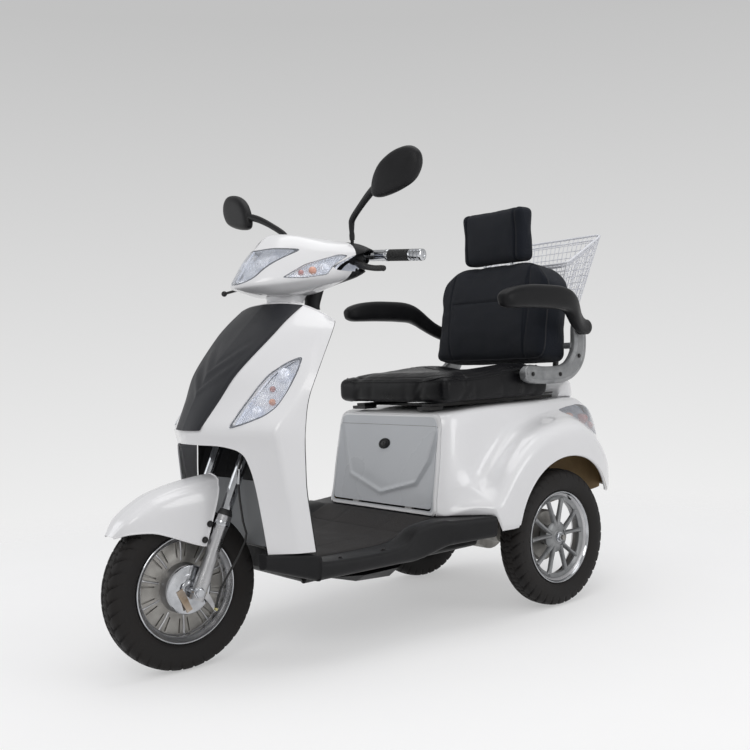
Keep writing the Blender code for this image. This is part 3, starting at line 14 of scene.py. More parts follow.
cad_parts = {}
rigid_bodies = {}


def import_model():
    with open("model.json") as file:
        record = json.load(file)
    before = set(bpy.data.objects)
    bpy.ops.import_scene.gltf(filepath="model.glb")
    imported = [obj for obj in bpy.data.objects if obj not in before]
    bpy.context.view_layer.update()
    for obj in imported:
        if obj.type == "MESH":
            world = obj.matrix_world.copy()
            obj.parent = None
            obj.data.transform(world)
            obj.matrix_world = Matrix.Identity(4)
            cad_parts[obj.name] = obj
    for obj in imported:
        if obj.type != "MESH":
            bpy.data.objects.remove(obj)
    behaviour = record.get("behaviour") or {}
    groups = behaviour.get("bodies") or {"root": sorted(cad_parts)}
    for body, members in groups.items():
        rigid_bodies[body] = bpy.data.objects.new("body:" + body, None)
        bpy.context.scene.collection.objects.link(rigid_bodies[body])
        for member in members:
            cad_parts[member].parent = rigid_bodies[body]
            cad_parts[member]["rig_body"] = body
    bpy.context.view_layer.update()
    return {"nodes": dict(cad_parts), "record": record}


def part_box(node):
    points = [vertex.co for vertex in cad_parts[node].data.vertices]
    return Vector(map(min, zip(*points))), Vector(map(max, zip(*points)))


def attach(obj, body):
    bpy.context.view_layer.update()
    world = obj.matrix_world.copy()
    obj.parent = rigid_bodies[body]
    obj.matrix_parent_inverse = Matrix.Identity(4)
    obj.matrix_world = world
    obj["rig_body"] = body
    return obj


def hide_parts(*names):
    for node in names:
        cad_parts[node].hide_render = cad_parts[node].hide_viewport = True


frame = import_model()

BODY_OF = {node: obj["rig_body"] for node, obj in frame["nodes"].items()}
FRONT_BOX, REAR_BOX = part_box("front_tyre"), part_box("rear_tyre_left")
FRONT_MIDDLE, REAR_MIDDLE = (FRONT_BOX[0] + FRONT_BOX[1]) / 2, (REAR_BOX[0] + REAR_BOX[1]) / 2
SHIFT = Matrix.Translation((0, (FRONT_MIDDLE.y + REAR_MIDDLE.y) / 2, 0))
AXLE_Y = (REAR_MIDDLE.y - FRONT_MIDDLE.y) / 2
WHEEL_X = REAR_MIDDLE.x
TYRE_RADIUS = (FRONT_BOX[1].z - FRONT_BOX[0].z) / 2
RIM_RADIUS = 0.138
SIDES = (("left", 1), ("right", -1))
RAKE = math.radians(24.5)
STEER = Vector((0, math.sin(RAKE), math.cos(RAKE)))
HEAD = Vector((0, -0.200, 0.950))


# Materials


def ramp(nodes, links, factor, low, high, start=0.3, end=0.7):
    """A colour that runs from low to high as the factor runs from start to end."""
    node = nodes.new("ShaderNodeValToRGB")
    node.color_ramp.elements[0].position = start
    node.color_ramp.elements[1].position = end
    node.color_ramp.elements[0].color = (*low, 1)
    node.color_ramp.elements[1].color = (*high, 1)
    links.new(factor, node.inputs[0])
    return node.outputs[0]


def spread(nodes, links, factor, low, high):
    node = nodes.new("ShaderNodeMapRange")
    node.inputs["From Min"].default_value = 0.3
    node.inputs["From Max"].default_value = 0.7
    node.inputs["To Min"].default_value = low
    node.inputs["To Max"].default_value = high
    links.new(factor, node.inputs["Value"])
    return node.outputs[0]


def texture(nodes, links, place, kind, scale, stretch=(1, 1, 1), detail=3.0):
    """A noise, cell or wave pattern in the object's own coordinates."""
    mapping = nodes.new("ShaderNodeMapping")
    mapping.inputs["Scale"].default_value = stretch
    links.new(place, mapping.inputs["Vector"])
    if kind == "cells":
        node = nodes.new("ShaderNodeTexVoronoi")
        out = node.outputs["Distance"]
    elif kind == "waves":
        node = nodes.new("ShaderNodeTexWave")
        node.wave_profile = "SIN"
        out = node.outputs["Fac"]
    else:
        node = nodes.new("ShaderNodeTexNoise")
        node.inputs["Detail"].default_value = detail
        out = node.outputs["Fac"]
    node.inputs["Scale"].default_value = scale
    links.new(mapping.outputs[0], node.inputs["Vector"])
    return out


def look(name, colour, rough, other=None, metal=0.0, patch=6.0, vary=0.05, grain="noise", grain_scale=400.0,
         grain_depth=0.0, stretch=(1, 1, 1), coat=0.0, sheen=0.0, specular=0.5, glow=0.0):
    """A surface whose colour and roughness drift over patches, with a fine grain in its bump."""
    material = bpy.data.materials.new(name)
    material.use_nodes = True
    nodes, links = material.node_tree.nodes, material.node_tree.links
    shader = nodes["Principled BSDF"]
    place = nodes.new("ShaderNodeTexCoord").outputs["Object"]
    patches = texture(nodes, links, place, "noise", patch, detail=5.0)
    other = other or tuple(c * 0.93 for c in colour)
    links.new(ramp(nodes, links, patches, other, colour), shader.inputs["Base Color"])
    links.new(spread(nodes, links, patches, rough + vary, max(rough - vary, 0.02)), shader.inputs["Roughness"])
    shader.inputs["Metallic"].default_value = metal
    shader.inputs["Specular IOR Level"].default_value = specular
    if coat:
        shader.inputs["Coat Weight"].default_value = coat
        shader.inputs["Coat Roughness"].default_value = 0.06
    if sheen:
        shader.inputs["Sheen Weight"].default_value = sheen
        shader.inputs["Sheen Roughness"].default_value = 0.5
    if grain_depth:
        bump = nodes.new("ShaderNodeBump")
        bump.inputs["Distance"].default_value = grain_depth
        bump.inputs["Strength"].default_value = 1.0
        links.new(texture(nodes, links, place, grain, grain_scale, stretch), bump.inputs["Height"])
        links.new(bump.outputs[0], shader.inputs["Normal"])
    # glow is painted light: the surface gives out its own colour, so it looks lit where no lamp reaches it
    if glow:
        links.new(shader.inputs["Base Color"].links[0].from_socket, shader.inputs["Emission Color"])
        shader.inputs["Emission Strength"].default_value = glow
    material.diffuse_color = (*colour, 1)
    return material


def lens_look(name, tint, ribs, stretch):
    """Clear moulded plastic: seen through face on, mirror-like at a glancing angle, with ribs across it."""
    material = look(name, tint, 0.05, metal=1.0, vary=0.02, grain="waves", grain_scale=ribs, grain_depth=0.0006,
                    stretch=stretch)
    nodes, links = material.node_tree.nodes, material.node_tree.links
    edge = nodes.new("ShaderNodeFresnel")
    edge.inputs["IOR"].default_value = 1.5
    reach = nodes.new("ShaderNodeMapRange")
    reach.inputs["To Min"].default_value = 0.06
    reach.inputs["To Max"].default_value = 0.45
    links.new(edge.outputs[0], reach.inputs["Value"])
    links.new(reach.outputs[0], nodes["Principled BSDF"].inputs["Alpha"])
    return material


LOOKS = {
    "white_paint": look("white_paint", (0.82, 0.82, 0.83), 0.22, (0.79, 0.79, 0.80), patch=2.5, vary=0.04,
                        grain_scale=60, grain_depth=0.00015, coat=0.6),
    # white paint painted darker: a painted shade for the shadow under the seat on the seat box front and hatch
    "hatch_paint": look("hatch_paint", (0.57, 0.59, 0.615), 0.28, (0.53, 0.55, 0.58), patch=2.5, vary=0.04,
                        grain_scale=60, grain_depth=0.00015, coat=0.4),
    "liner_tan": look("liner_tan", (0.36, 0.25, 0.12), 0.7, (0.20, 0.13, 0.06), patch=9, vary=0.1, grain_scale=90,
                      grain_depth=0.0008),
    "black_plastic": look("black_plastic", (0.010, 0.010, 0.011), 0.42, (0.015, 0.015, 0.016), patch=14, vary=0.06,
                          grain_scale=1400, grain_depth=0.0002, specular=0.2),
    "matt_panel": look("matt_panel", (0.013, 0.014, 0.018), 0.46, (0.018, 0.019, 0.023), patch=8, vary=0.05,
                       grain_scale=1800, grain_depth=0.00015, specular=0.35),
    "floor_mat": look("floor_mat", (0.022, 0.020, 0.020), 0.62, (0.036, 0.033, 0.032), patch=18, vary=0.08,
                      grain="cells", grain_scale=260, grain_depth=0.0009, specular=0.3),
    "grey_plastic": look("grey_plastic", (0.30, 0.31, 0.32), 0.5, (0.26, 0.27, 0.28), patch=7, grain_scale=1200,
                         grain_depth=0.0002),
    "black_steel": look("black_steel", (0.011, 0.011, 0.012), 0.38, (0.020, 0.019, 0.018), patch=20, vary=0.1,
                        grain_scale=500, grain_depth=0.0002, specular=0.35),
    "chrome": look("chrome", (0.56, 0.57, 0.59), 0.11, (0.40, 0.41, 0.43), metal=1.0, patch=34, vary=0.05,
                   grain_scale=80, grain_depth=0.00004),
    "alloy": look("alloy", (0.50, 0.50, 0.51), 0.32, (0.38, 0.38, 0.39), metal=1.0, patch=22, vary=0.08,
                  grain_scale=900, grain_depth=0.00015),
    "cast_alloy": look("cast_alloy", (0.36, 0.35, 0.33), 0.42, (0.26, 0.25, 0.235), metal=0.85, patch=26, vary=0.1,
                       grain_scale=700, grain_depth=0.0004),
    "worn_steel": look("worn_steel", (0.30, 0.22, 0.15), 0.5, (0.50, 0.44, 0.38), metal=0.8, patch=45, vary=0.15,
                       grain_scale=500, grain_depth=0.0004),
    "brass": look("brass", (0.55, 0.50, 0.25), 0.3, (0.40, 0.38, 0.22), metal=1.0, patch=60),
    "silver_paint": look("silver_paint", (0.31, 0.315, 0.32), 0.40, (0.20, 0.205, 0.21), metal=0.6, patch=24,
                         vary=0.08, grain_scale=1500, grain_depth=0.00015),
    "tyre_rubber": look("tyre_rubber", (0.010, 0.009, 0.009), 0.68, (0.017, 0.015, 0.014), patch=16, vary=0.08,
                        grain_scale=700, grain_depth=0.0004, specular=0.28),
    "grip_rubber": look("grip_rubber", (0.016, 0.016, 0.016), 0.62, (0.022, 0.022, 0.022), patch=40, grain="waves",
                        grain_scale=220, grain_depth=0.0008),
    "black_vinyl": look("black_vinyl", (0.007, 0.007, 0.008), 0.32, (0.011, 0.011, 0.012), patch=12, vary=0.07,
                        grain="cells", grain_scale=420, grain_depth=0.00025, specular=0.14),
    "smooth_pad": look("smooth_pad", (0.007, 0.007, 0.008), 0.38, (0.010, 0.010, 0.011), patch=10, vary=0.05,
                       grain_scale=900, grain_depth=0.0002, specular=0.15),
    "black_fabric": look("black_fabric", (0.006, 0.008, 0.013), 0.85, (0.009, 0.011, 0.017), patch=16, vary=0.05,
                         grain="waves", grain_scale=330, grain_depth=0.0004, stretch=(1, 1, 1.3), sheen=0.06,
                         specular=0.2),
    "thread": look("thread", (0.010, 0.011, 0.015), 0.8, (0.016, 0.017, 0.021), patch=200, grain_scale=900,
                   grain_depth=0.0003),
    # the reflector's glow is painted light that brightens the lamp bowls, rings, walls and divider behind the glass
    "reflector": look("reflector", (0.88, 0.90, 0.96), 0.16, (0.60, 0.64, 0.74), metal=0.35, patch=40, vary=0.07,
                      grain="waves", grain_scale=70, grain_depth=0.004, stretch=(1, 0.3, 0.6), glow=0.30),
    # the tail reflector's glow is painted light that brightens the tail lamp bowl behind its lens
    "tail_reflector": look("tail_reflector", (0.68, 0.70, 0.76), 0.20, (0.34, 0.37, 0.43), metal=0.4, patch=30,
                           vary=0.12, grain="waves", grain_scale=70, grain_depth=0.006, stretch=(1, 0.3, 0.6),
                           glow=0.10),
    "lamp_rim": look("lamp_rim", (0.16, 0.17, 0.19), 0.25, (0.11, 0.12, 0.14), patch=20, coat=0.5),
    "amber": look("amber", (0.80, 0.46, 0.34), 0.25, (0.70, 0.34, 0.26), patch=80, coat=0.5),
    "bulb_red": look("bulb_red", (0.60, 0.34, 0.32), 0.25, (0.48, 0.24, 0.24), patch=80, coat=0.5),
    "white_wire": look("white_wire", (0.80, 0.81, 0.84), 0.38, (0.66, 0.67, 0.72), patch=30, vary=0.06,
                       grain_scale=500, grain_depth=0.0002, coat=0.2),
    "cable_rubber": look("cable_rubber", (0.013, 0.013, 0.013), 0.5, (0.020, 0.020, 0.020), patch=40,
                         grain_scale=900, grain_depth=0.0002),
    "clear_lens": lens_look("clear_lens", (0.86, 0.89, 0.94), 150, (1, 0.2, 0.5)),
    "tail_lens": lens_look("tail_lens", (0.86, 0.88, 0.92), 95, (0.3, 1, -0.9)),
    "mirror_glass": look("mirror_glass", (0.86, 0.87, 0.88), 0.03, (0.84, 0.85, 0.86), metal=1.0, vary=0.01),
}


# Shapes


def soften(obj, angle=38):
    obj.data.shade_smooth()
    obj.data.set_sharp_from_angle(angle=math.radians(angle))
    return obj


def from_bmesh(name, bm, material, angle=38):
    mesh = bpy.data.meshes.new(name)
    bm.to_mesh(mesh)
    bm.free()
    obj = bpy.data.objects.new(name, mesh)
    bpy.context.scene.collection.objects.link(obj)
    mesh.materials.clear()
    for entry in [material] if isinstance(material, str) else material:
        mesh.materials.append(LOOKS[entry])
    return soften(obj, angle)


def settled(obj, angle=38):
    """The object with its modifiers applied."""
    bpy.context.view_layer.update()
    mesh = bpy.data.meshes.new_from_object(obj.evaluated_get(bpy.context.evaluated_depsgraph_get()))
    obj.modifiers.clear()
    old = obj.data
    obj.data = mesh
    bpy.data.meshes.remove(old)
    return soften(obj, angle)


def boolean(obj, operation, others, angle=38):
    for other in others:
        step = obj.modifiers.new("step", "BOOLEAN")
        step.operation = operation
        step.object = other
        step.solver = "MANIFOLD"
    settled(obj, angle)
    for other in others:
        bpy.data.objects.remove(other, do_unlink=True)
    return obj


def cut(obj, others, angle=38):
    return boolean(obj, "DIFFERENCE", others, angle)


def catmull(a, b, c, d, t):
    return 0.5 * (2 * b + (c - a) * t + (2 * a - 5 * b + 4 * c - d) * t**2 + (3 * b - a - 3 * c + d) * t**3)


def flow(points, per_span=6, closed=False):
    """A smooth curve through the points."""
    points = [Vector(p) for p in points]
    n = len(points)
    if closed:
        spans = [(points[i - 1], points[i], points[(i + 1) % n], points[(i + 2) % n]) for i in range(n)]
    else:
        ends = [points[0] * 2 - points[1], *points, points[-1] * 2 - points[-2]]
        spans = list(zip(ends, ends[1:], ends[2:], ends[3:]))
    made = [catmull(*span, step / per_span) for span in spans for step in range(per_span)]
    return made if closed else made + [points[-1]]


def flow_rows(rows, per_span=6, sharp=()):
    """Rows of points with smooth rows between them; at a sharp row the surface may fold."""
    stops = [0, *[i for i in sharp if 0 < i < len(rows) - 1], len(rows) - 1]
    made = []
    for start, end in zip(stops, stops[1:]):
        columns = [flow([row[k] for row in rows[start : end + 1]], per_span) for k in range(len(rows[0]))]
        part = [list(row) for row in zip(*columns)]
        made += part if not made else part[1:]
    return made


def rounded(points, radii, steps=4, closed=False, between=1):
    """The line through the points with each corner rounded, and the straight runs split into equal steps."""
    points = [Vector(p) for p in points]
    n = len(points)
    radii = radii if isinstance(radii, (list, tuple)) else [radii] * n
    made = []
    for i, (point, radius) in enumerate(zip(points, radii)):
        if (not closed and i in (0, n - 1)) or not radius:
            made.append([point])
            continue
        back, on = points[i - 1] - point, points[(i + 1) % n] - point
        start = point + back.normalized() * min(radius, back.length * 0.46)
        end = point + on.normalized() * min(radius, on.length * 0.46)
        arc = []
        for k in range(steps + 1):
            t = k / steps
            arc.append(start * (1 - t) ** 2 + point * 2 * t * (1 - t) + end * t**2)
        made.append(arc)
    line = []
    for i, arc in enumerate(made):
        line += arc
        if i + 1 < len(made) or closed:
            onwards = made[(i + 1) % n][0]
            line += [arc[-1].lerp(onwards, k / between) for k in range(1, between)]
    return line


def both_sides(half):
    """A half line, from the middle outwards at +X, as a whole one from right to left."""
    return [Vector((-p[0], p[1], p[2])) for p in reversed(half[1:])] + [Vector(p) for p in half]


def grid(name, rows, material, inside=None, wall=0.0, angle=38, closed=False):
    """A sheet through rows of points, facing away from the point inside, with a wall behind it."""
    bm = bmesh.new()
    made = [[bm.verts.new(p) for p in row] for row in rows]
    for first, second in zip(made, made[1:]):
        for i in range(len(first) - (not closed)):
            j = (i + 1) % len(first)
            bm.faces.new((first[i], first[j], second[j], second[i]))
    bm.normal_update()
    if inside is not None and sum(f.normal.dot(f.calc_center_median() - Vector(inside)) for f in bm.faces) < 0:
        bmesh.ops.reverse_faces(bm, faces=bm.faces)
    obj = from_bmesh(name, bm, material, angle)
    if wall:
        thick = obj.modifiers.new("wall", "SOLIDIFY")
        thick.thickness = wall
        thick.offset = -1
        thick.use_even_offset = True
        settled(obj, angle)
    return obj


def solid(name, rings, material, angle=38):
    """A closed body through rings of points."""
    bm = bmesh.new()
    made = [[bm.verts.new(p) for p in ring] for ring in rings]
    for first, second in zip(made, made[1:]):
        for i in range(len(first)):
            j = (i + 1) % len(first)
            bm.faces.new((first[i], first[j], second[j], second[i]))
    bm.faces.new(made[0][::-1])
    bm.faces.new(made[-1])
    bmesh.ops.recalc_face_normals(bm, faces=bm.faces)
    return from_bmesh(name, bm, material, angle)


def prism(name, outline, low, high, axis="Y", material="white_paint"):
    """A straight body along an axis from an outline in the other two, in the order x, y, z."""
    spot = {"X": lambda a, b, d: (d, a, b), "Y": lambda a, b, d: (a, d, b), "Z": lambda a, b, d: (a, b, d)}[axis]
    return solid(name, [[spot(p[0], p[1], d) for p in outline] for d in (low, high)], material)


def flat(outline, radius, steps=5, closed=True):
    """A rounded outline of pairs."""
    return [(p.x, p.y) for p in rounded([(a, b, 0) for a, b in outline], radius, steps, closed)]


def turned(name, profile, centre, material, steps=96, axis=(1, 0, 0), closed=False, angle=38):
    """A body turned about an axis through centre, from (distance along the axis, radius) pairs."""
    turn = Vector((1, 0, 0)).rotation_difference(Vector(axis).normalized()).to_matrix().to_4x4()
    place = Matrix.Translation(centre) @ turn
    bm = bmesh.new()
    rings = []
    for along, radius in profile:
        if radius < 1e-5:
            rings.append([bm.verts.new(place @ Vector((along, 0, 0)))])
            continue
        corners = [2 * math.pi * k / steps for k in range(steps)]
        rings.append(
            [bm.verts.new(place @ Vector((along, radius * math.cos(c), radius * math.sin(c)))) for c in corners]
        )
    for first, second in zip(rings, rings[1:] + (rings[:1] if closed else [])):
        for i in range(steps):
            j = (i + 1) % steps
            corners = [first[i % len(first)], first[j % len(first)], second[j % len(second)], second[i % len(second)]]
            bm.faces.new(list(dict.fromkeys(corners)))
    if not closed:
        for ring in (rings[0], rings[-1]):
            if len(ring) > 1:
                bm.faces.new(ring)
    bmesh.ops.recalc_face_normals(bm, faces=bm.faces)
    return from_bmesh(name, bm, material, angle)


def swept(name, path, sections, material, up=(0, 0, 1), angle=38, closed=False):
    """A body swept along a path; each section is a list of (across, upwards) pairs."""
    path = [Vector(p) for p in path]
    n = len(path)
    if not isinstance(sections[0][0], (list, tuple)):
        sections = [sections] * n
    rings = []
    for i, (point, section) in enumerate(zip(path, sections)):
        before = path[i - 1] if i or closed else path[i]
        after = path[(i + 1) % n] if i + 1 < n or closed else path[i]
        along = (after - before).normalized()
        across = along.cross(Vector(up))
        across = across.normalized() if across.length > 1e-4 else Vector((1, 0, 0))
        above = across.cross(along)
        rings.append([point + across * a + above * b for a, b in section])
    if not closed:
        return solid(name, rings, material, angle)
    return grid(name, rings + rings[:1], material, angle=angle, closed=True)


def ring_of(radius, sides=12, high=None):
    high = radius if high is None else high
    turns = [2 * math.pi * (k + 0.5) / sides for k in range(sides)]
    return [(radius * math.cos(t), high * math.sin(t)) for t in turns]


def tube(name, path, radius, material, sides=12, up=(0.3, 0.2, 1), closed=False):
    """A round body along a path, with one radius or one for each point."""
    path = list(path)
    radii = radius if isinstance(radius, (list, tuple)) else [radius] * len(path)
    return swept(name, path, [ring_of(r, sides) for r in radii], material, up, closed=closed)


def joined(name, objects):
    """The objects as one, with each one's materials kept."""
    materials, bm = [], bmesh.new()
    for obj in objects:
        start = len(bm.faces)
        bm.from_mesh(obj.data)
        bm.faces.ensure_lookup_table()
        own = list(obj.data.materials)
        for material in own:
            if material not in materials:
                materials.append(material)
        for face in bm.faces[start:]:
            face.material_index = materials.index(own[min(face.material_index, len(own) - 1)])
    mesh = bpy.data.meshes.new(name)
    bm.to_mesh(mesh)
    bm.free()
    for material in materials:
        mesh.materials.append(material)
    made = bpy.data.objects.new(name, mesh)
    bpy.context.scene.collection.objects.link(made)
    for obj in objects:
        bpy.data.objects.remove(obj, do_unlink=True)
    return soften(made)


def flipped(obj, name):
    """The object's twin on the other side of the middle."""
    mesh = obj.data.copy()
    mesh.transform(Matrix.Scale(-1, 4, (1, 0, 0)))
    mesh.flip_normals()
    twin = bpy.data.objects.new(name, mesh)
    bpy.context.scene.collection.objects.link(twin)
    return twin


def piece(obj, body, replaces=()):
    """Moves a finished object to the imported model's frame and puts it on its body."""
    obj.data.transform(SHIFT)
    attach(obj, body)
    if replaces:
        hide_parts(*([replaces] if isinstance(replaces, str) else replaces))
    return obj


def pair(obj, name, bodies, replaces=None):
    """A left piece and its right twin; names hold {} for the side."""
    twin = flipped(obj, name.format("right"))
    obj.name = name.format("left")
    for side, made in (("left", obj), ("right", twin)):
        piece(made, bodies.format(side), [node.format(side) for node in replaces or ()])
    return obj, twin


def bolt(place, axis, radius=0.005, material="black_steel"):
    """A domed bolt head on a washer."""
    profile = ((-0.002, 0), (-0.002, radius * 1.5), (0.0006, radius * 1.5), (0.0008, radius), (0.003, radius * 0.95),
               (0.0042, radius * 0.6), (0.0046, 0))
    return turned("bolt", profile, place, material, 20, axis)


# Front shield

SHIELD = (
    # z, middle y, panel edge x, y, flank x, y, crease x, y, rear edge x, y, drop at the outer edge
    (0.915, -0.262, 0.150, -0.243, 0.178, -0.226, 0.205, -0.207, 0.216, -0.192, 0.045),
    (0.878, -0.308, 0.146, -0.292, 0.186, -0.262, 0.222, -0.230, 0.234, -0.207, 0.016),
    (0.835, -0.356, 0.140, -0.339, 0.188, -0.300, 0.232, -0.256, 0.246, -0.228, 0.0),
    (0.745, -0.444, 0.110, -0.426, 0.178, -0.367, 0.245, -0.302, 0.259, -0.284, 0.0),
    (0.672, -0.492, 0.084, -0.470, 0.166, -0.416, 0.249, -0.352, 0.264, -0.322, 0.0),
    (0.603, -0.527, 0.060, -0.514, 0.154, -0.474, 0.250, -0.415, 0.265, -0.336, 0.0),
    (0.560, -0.514, 0.060, -0.502, 0.150, -0.466, 0.251, -0.407, 0.266, -0.340, 0.0),
    (0.520, -0.510, 0.060, -0.500, 0.150, -0.466, 0.251, -0.400, 0.267, -0.341, 0.0),
    (0.450, -0.510, 0.060, -0.500, 0.150, -0.466, 0.252, -0.388, 0.269, -0.342, 0.0),
    (0.380, -0.512, 0.060, -0.502, 0.150, -0.472, 0.253, -0.374, 0.270, -0.334, 0.0),
    (0.293, -0.516, 0.060, -0.508, 0.150, -0.479, 0.254, -0.361, 0.270, -0.322, 0.0),
)
SHIELD_FOLD = 5
ARCH = ((0.0, 0.566), (0.110, 0.563), (0.166, 0.548), (0.182, 0.500), (0.190, 0.440), (0.197, 0.370), (0.204, 0.280),
        (0.204, 0.200), (0.0, 0.200))
SHIELD_LAMP = ((0.222, 0.782), (0.198, 0.768), (0.172, 0.738), (0.156, 0.700), (0.142, 0.655), (0.134, 0.605),
               (0.170, 0.616), (0.205, 0.634), (0.220, 0.655), (0.225, 0.700), (0.226, 0.745))
SHIELD_INSIDE = (0, 0.1, 0.6)


def shield_half(row, out=0.0):
    z, my, px, py, fx, fy, cx, cy, rx, ry, drop = row
    line = [(0, my, z + drop * 0.25), (px * 0.55, my * 0.7 + py * 0.3, z + drop * 0.2), (px, py, z),
            (fx, fy, z - drop * 0.30), (cx, cy, z - drop * 0.70), (rx, ry, z - drop)]
    line = [(x + out * 0.4 * (x > 0.1), y - out, zz) for x, y, zz in line]
    return rounded(line, [0, 0.03, 0.02, 0.03, 0.010, 0], 4, between=3)


def shield_rows(out=0.0, rows=SHIELD):
    return flow_rows([shield_half(row, out) for row in rows], 5, [SHIELD_FOLD])


def relaxed(rows, about, reach, rounds=3):
    """Softens the fold between rows near a height."""
    for _ in range(rounds):
        fresh = [list(row) for row in rows]
        for i in range(1, len(rows) - 1):
            for k, point in enumerate(rows[i]):
                share = max(0.0, 1 - abs(point.z - about) / reach)
                fresh[i][k] = point.lerp((rows[i - 1][k] + rows[i + 1][k]) / 2, 0.5 * share)
        rows = fresh
    return rows


rows = relaxed([both_sides(half) for half in shield_rows()], 0.603, 0.02)
shield = grid("shield_skin", rows, "white_paint", SHIELD_INSIDE, 0.003)
arch = flat([(-x, z) for x, z in reversed(ARCH[1:-1])] + list(ARCH[:-1]), 0.03)
cutters = [prism("arch", arch, -0.7, -0.2)]
for side, sign in SIDES:
    cutters.append(prism("lamp_hole", flat([(sign * x, z) for x, z in SHIELD_LAMP], 0.012), -0.7, -0.1))
piece(cut(shield, cutters), "chassis", ["front_shield"])
lip = [p for p in rows[0]]
piece(tube("shield_top_bead", lip, 0.0022, "white_paint", 8), "chassis")


def chevron(point):
    """Two shallow V folds pressed into the centre panel."""
    depth = 0.0
    for top in (0.800, 0.752):
        line = top - 0.055 + abs(point.x) * 0.75
        gap = (point.z - line) / 0.011
        if abs(point.x) < 0.092:
            fade = min(1.0, (0.092 - abs(point.x)) / 0.02)
            depth += 0.0040 * fade * (math.exp(-(gap**2)) - 0.6 * math.exp(-((gap - 1.6) ** 2)))
    return depth


panel_rows = []
for row in SHIELD[:6]:
    z, my, px, py, *_ = row
    half = [(0, my, z + row[-1] * 0.25), (px * 0.55, my * 0.7 + py * 0.3, z + row[-1] * 0.2), (px - 0.001, py, z)]
    panel_rows.append(rounded(half, [0, 0.03, 0], 4, between=8))
panel_rows = [both_sides(half) for half in flow_rows(panel_rows, 14)]
for row in panel_rows:
    edge = row[-1].x
    for k, point in enumerate(row):
        crown = min(1.0, (edge - abs(point.x)) / 0.008)
        row[k] = Vector((point.x, point.y - 0.0038 * crown**0.5 - chevron(point), point.z))
piece(grid("centre_panel", panel_rows, "matt_panel", SHIELD_INSIDE, 0.003), "chassis",
      ["shield_centre"])

for side, sign in SIDES:
    outline = [(sign * x, z) for x, z in SHIELD_LAMP]
    window = flat(outline, 0.012)
    middle = (sum(p[0] for p in window) / len(window), sum(p[1] for p in window) / len(window))

    def lamp_sheet(name, out, wall, material, share=0.995):
        sheet = grid(name, [both_sides(half) for half in shield_rows(out, SHIELD[:7])], material, SHIELD_INSIDE, wall)
        inner = [(middle[0] + (x - middle[0]) * share, middle[1] + (z - middle[1]) * share) for x, z in window]
        return boolean(sheet, "INTERSECT", [prism("edge", inner, -0.7, -0.05)])

    glass = lamp_sheet("shield_glass_" + side, 0.0012, 0.0025, "clear_lens")
    piece(glass, "chassis", ["shield_lamp_" + side])
    piece(lamp_sheet("shield_bowl_" + side, -0.020, 0.002, "reflector", 1.02), "chassis")
    band = lamp_sheet("shield_rim_" + side, -0.0012, 0.006, "lamp_rim")
    inner = [(middle[0] + (x - middle[0]) * 0.90, middle[1] + (z - middle[1]) * 0.925) for x, z in window]
    piece(cut(band, [prism("inner", inner, -0.7, -0.05)]), "chassis")
    wall_rows = []
    for depth in (0.004, 0.024):
        wall_rows.append([])
        for x, z in window:
            ray = Vector((x, -0.7, z))
            hit, spot, _, _ = glass.ray_cast(SHIFT @ Vector((middle[0] + (x - middle[0]) * 0.97, -0.7, middle[1] + (z - middle[1]) * 0.97)), Vector((0, 1, 0)))
            level = (SHIFT.inverted() @ spot).y if hit else -0.40
            wall_rows[-1].append((x, level + depth, z))
    piece(grid("shield_lamp_wall_" + side, wall_rows, "reflector", closed=True), "chassis")
    for k, (tone, z, x, size) in enumerate((("amber", 0.668, 0.196, 0.009), ("bulb_red", 0.700, 0.184, 0.008),
                                            ("reflector", 0.735, 0.196, 0.017), ("reflector", 0.646, 0.176, 0.014))):
        hit, spot, _, _ = glass.ray_cast(SHIFT @ Vector((sign * x, -0.7, z)), Vector((0, 1, 0)))
        level = (SHIFT.inverted() @ spot).y + 0.014
        profile = [(-size * math.cos(t), size * math.sin(t)) for t in [k2 * math.pi / 10 for k2 in range(11)]]
        profile = [(a, r) for a, r in profile]
        piece(turned("shield_bulb_%s_%d" % (side, k), profile, (sign * x, level, z), tone, 24, (sign * 0.4, -0.9, 0.2)),
              "chassis")

# how far the inner cover stands back behind the shield's rear edge, from the top row to the lowest
BULGES = (0.030, 0.034, 0.038, 0.052, 0.075, 0.092, 0.096, 0.096, 0.096, 0.096, 0.096)
inner_rows = []
for row, bulge in zip(SHIELD, BULGES):
    z, rx, ry, drop = row[0], row[8] - 0.0045, row[9], row[10]
    half = [(0, ry + bulge, z - drop), (0.100, ry + bulge * 0.97, z - drop), (0.165, ry + bulge * 0.62, z - drop),
            (rx - 0.010, ry + 0.014, z - drop), (rx, ry + 0.004, z - drop)]
    inner_rows.append(rounded(half, [0, 0.05, 0.05, 0.012, 0], 4, between=3))
inner_rows = [both_sides(half) for half in flow_rows(inner_rows, 5)]
piece(grid("inner_cover", inner_rows, "black_plastic", (0, -0.6, 0.6), 0.003), "chassis",
      ["shield_inner"])


# Nacelle

NACELLE = (
    # x, then (y, z): front tip, lamp top, screen top, rear top, rear foot, neck rear, neck front
    (0.000, ((-0.365, 0.968), (-0.315, 1.045), (-0.242, 1.122), (-0.115, 1.112), (-0.090, 1.030), (-0.130, 0.950),
             (-0.255, 0.945))),
    (0.060, ((-0.335, 0.972), (-0.290, 1.042), (-0.222, 1.112), (-0.105, 1.108), (-0.075, 1.028), (-0.120, 0.952),
             (-0.240, 0.946))),
    (0.120, ((-0.235, 0.985), (-0.210, 1.030), (-0.165, 1.085), (-0.080, 1.095), (-0.045, 1.030), (-0.085, 0.975),
             (-0.180, 0.965))),
    (0.170, ((-0.150, 1.000), (-0.135, 1.035), (-0.105, 1.072), (-0.055, 1.085), (-0.030, 1.035), (-0.050, 0.995),
             (-0.115, 0.985))),
    (0.205, ((-0.085, 1.030), (-0.080, 1.045), (-0.070, 1.060), (-0.045, 1.066), (-0.030, 1.045), (-0.045, 1.022),
             (-0.070, 1.020))),
)
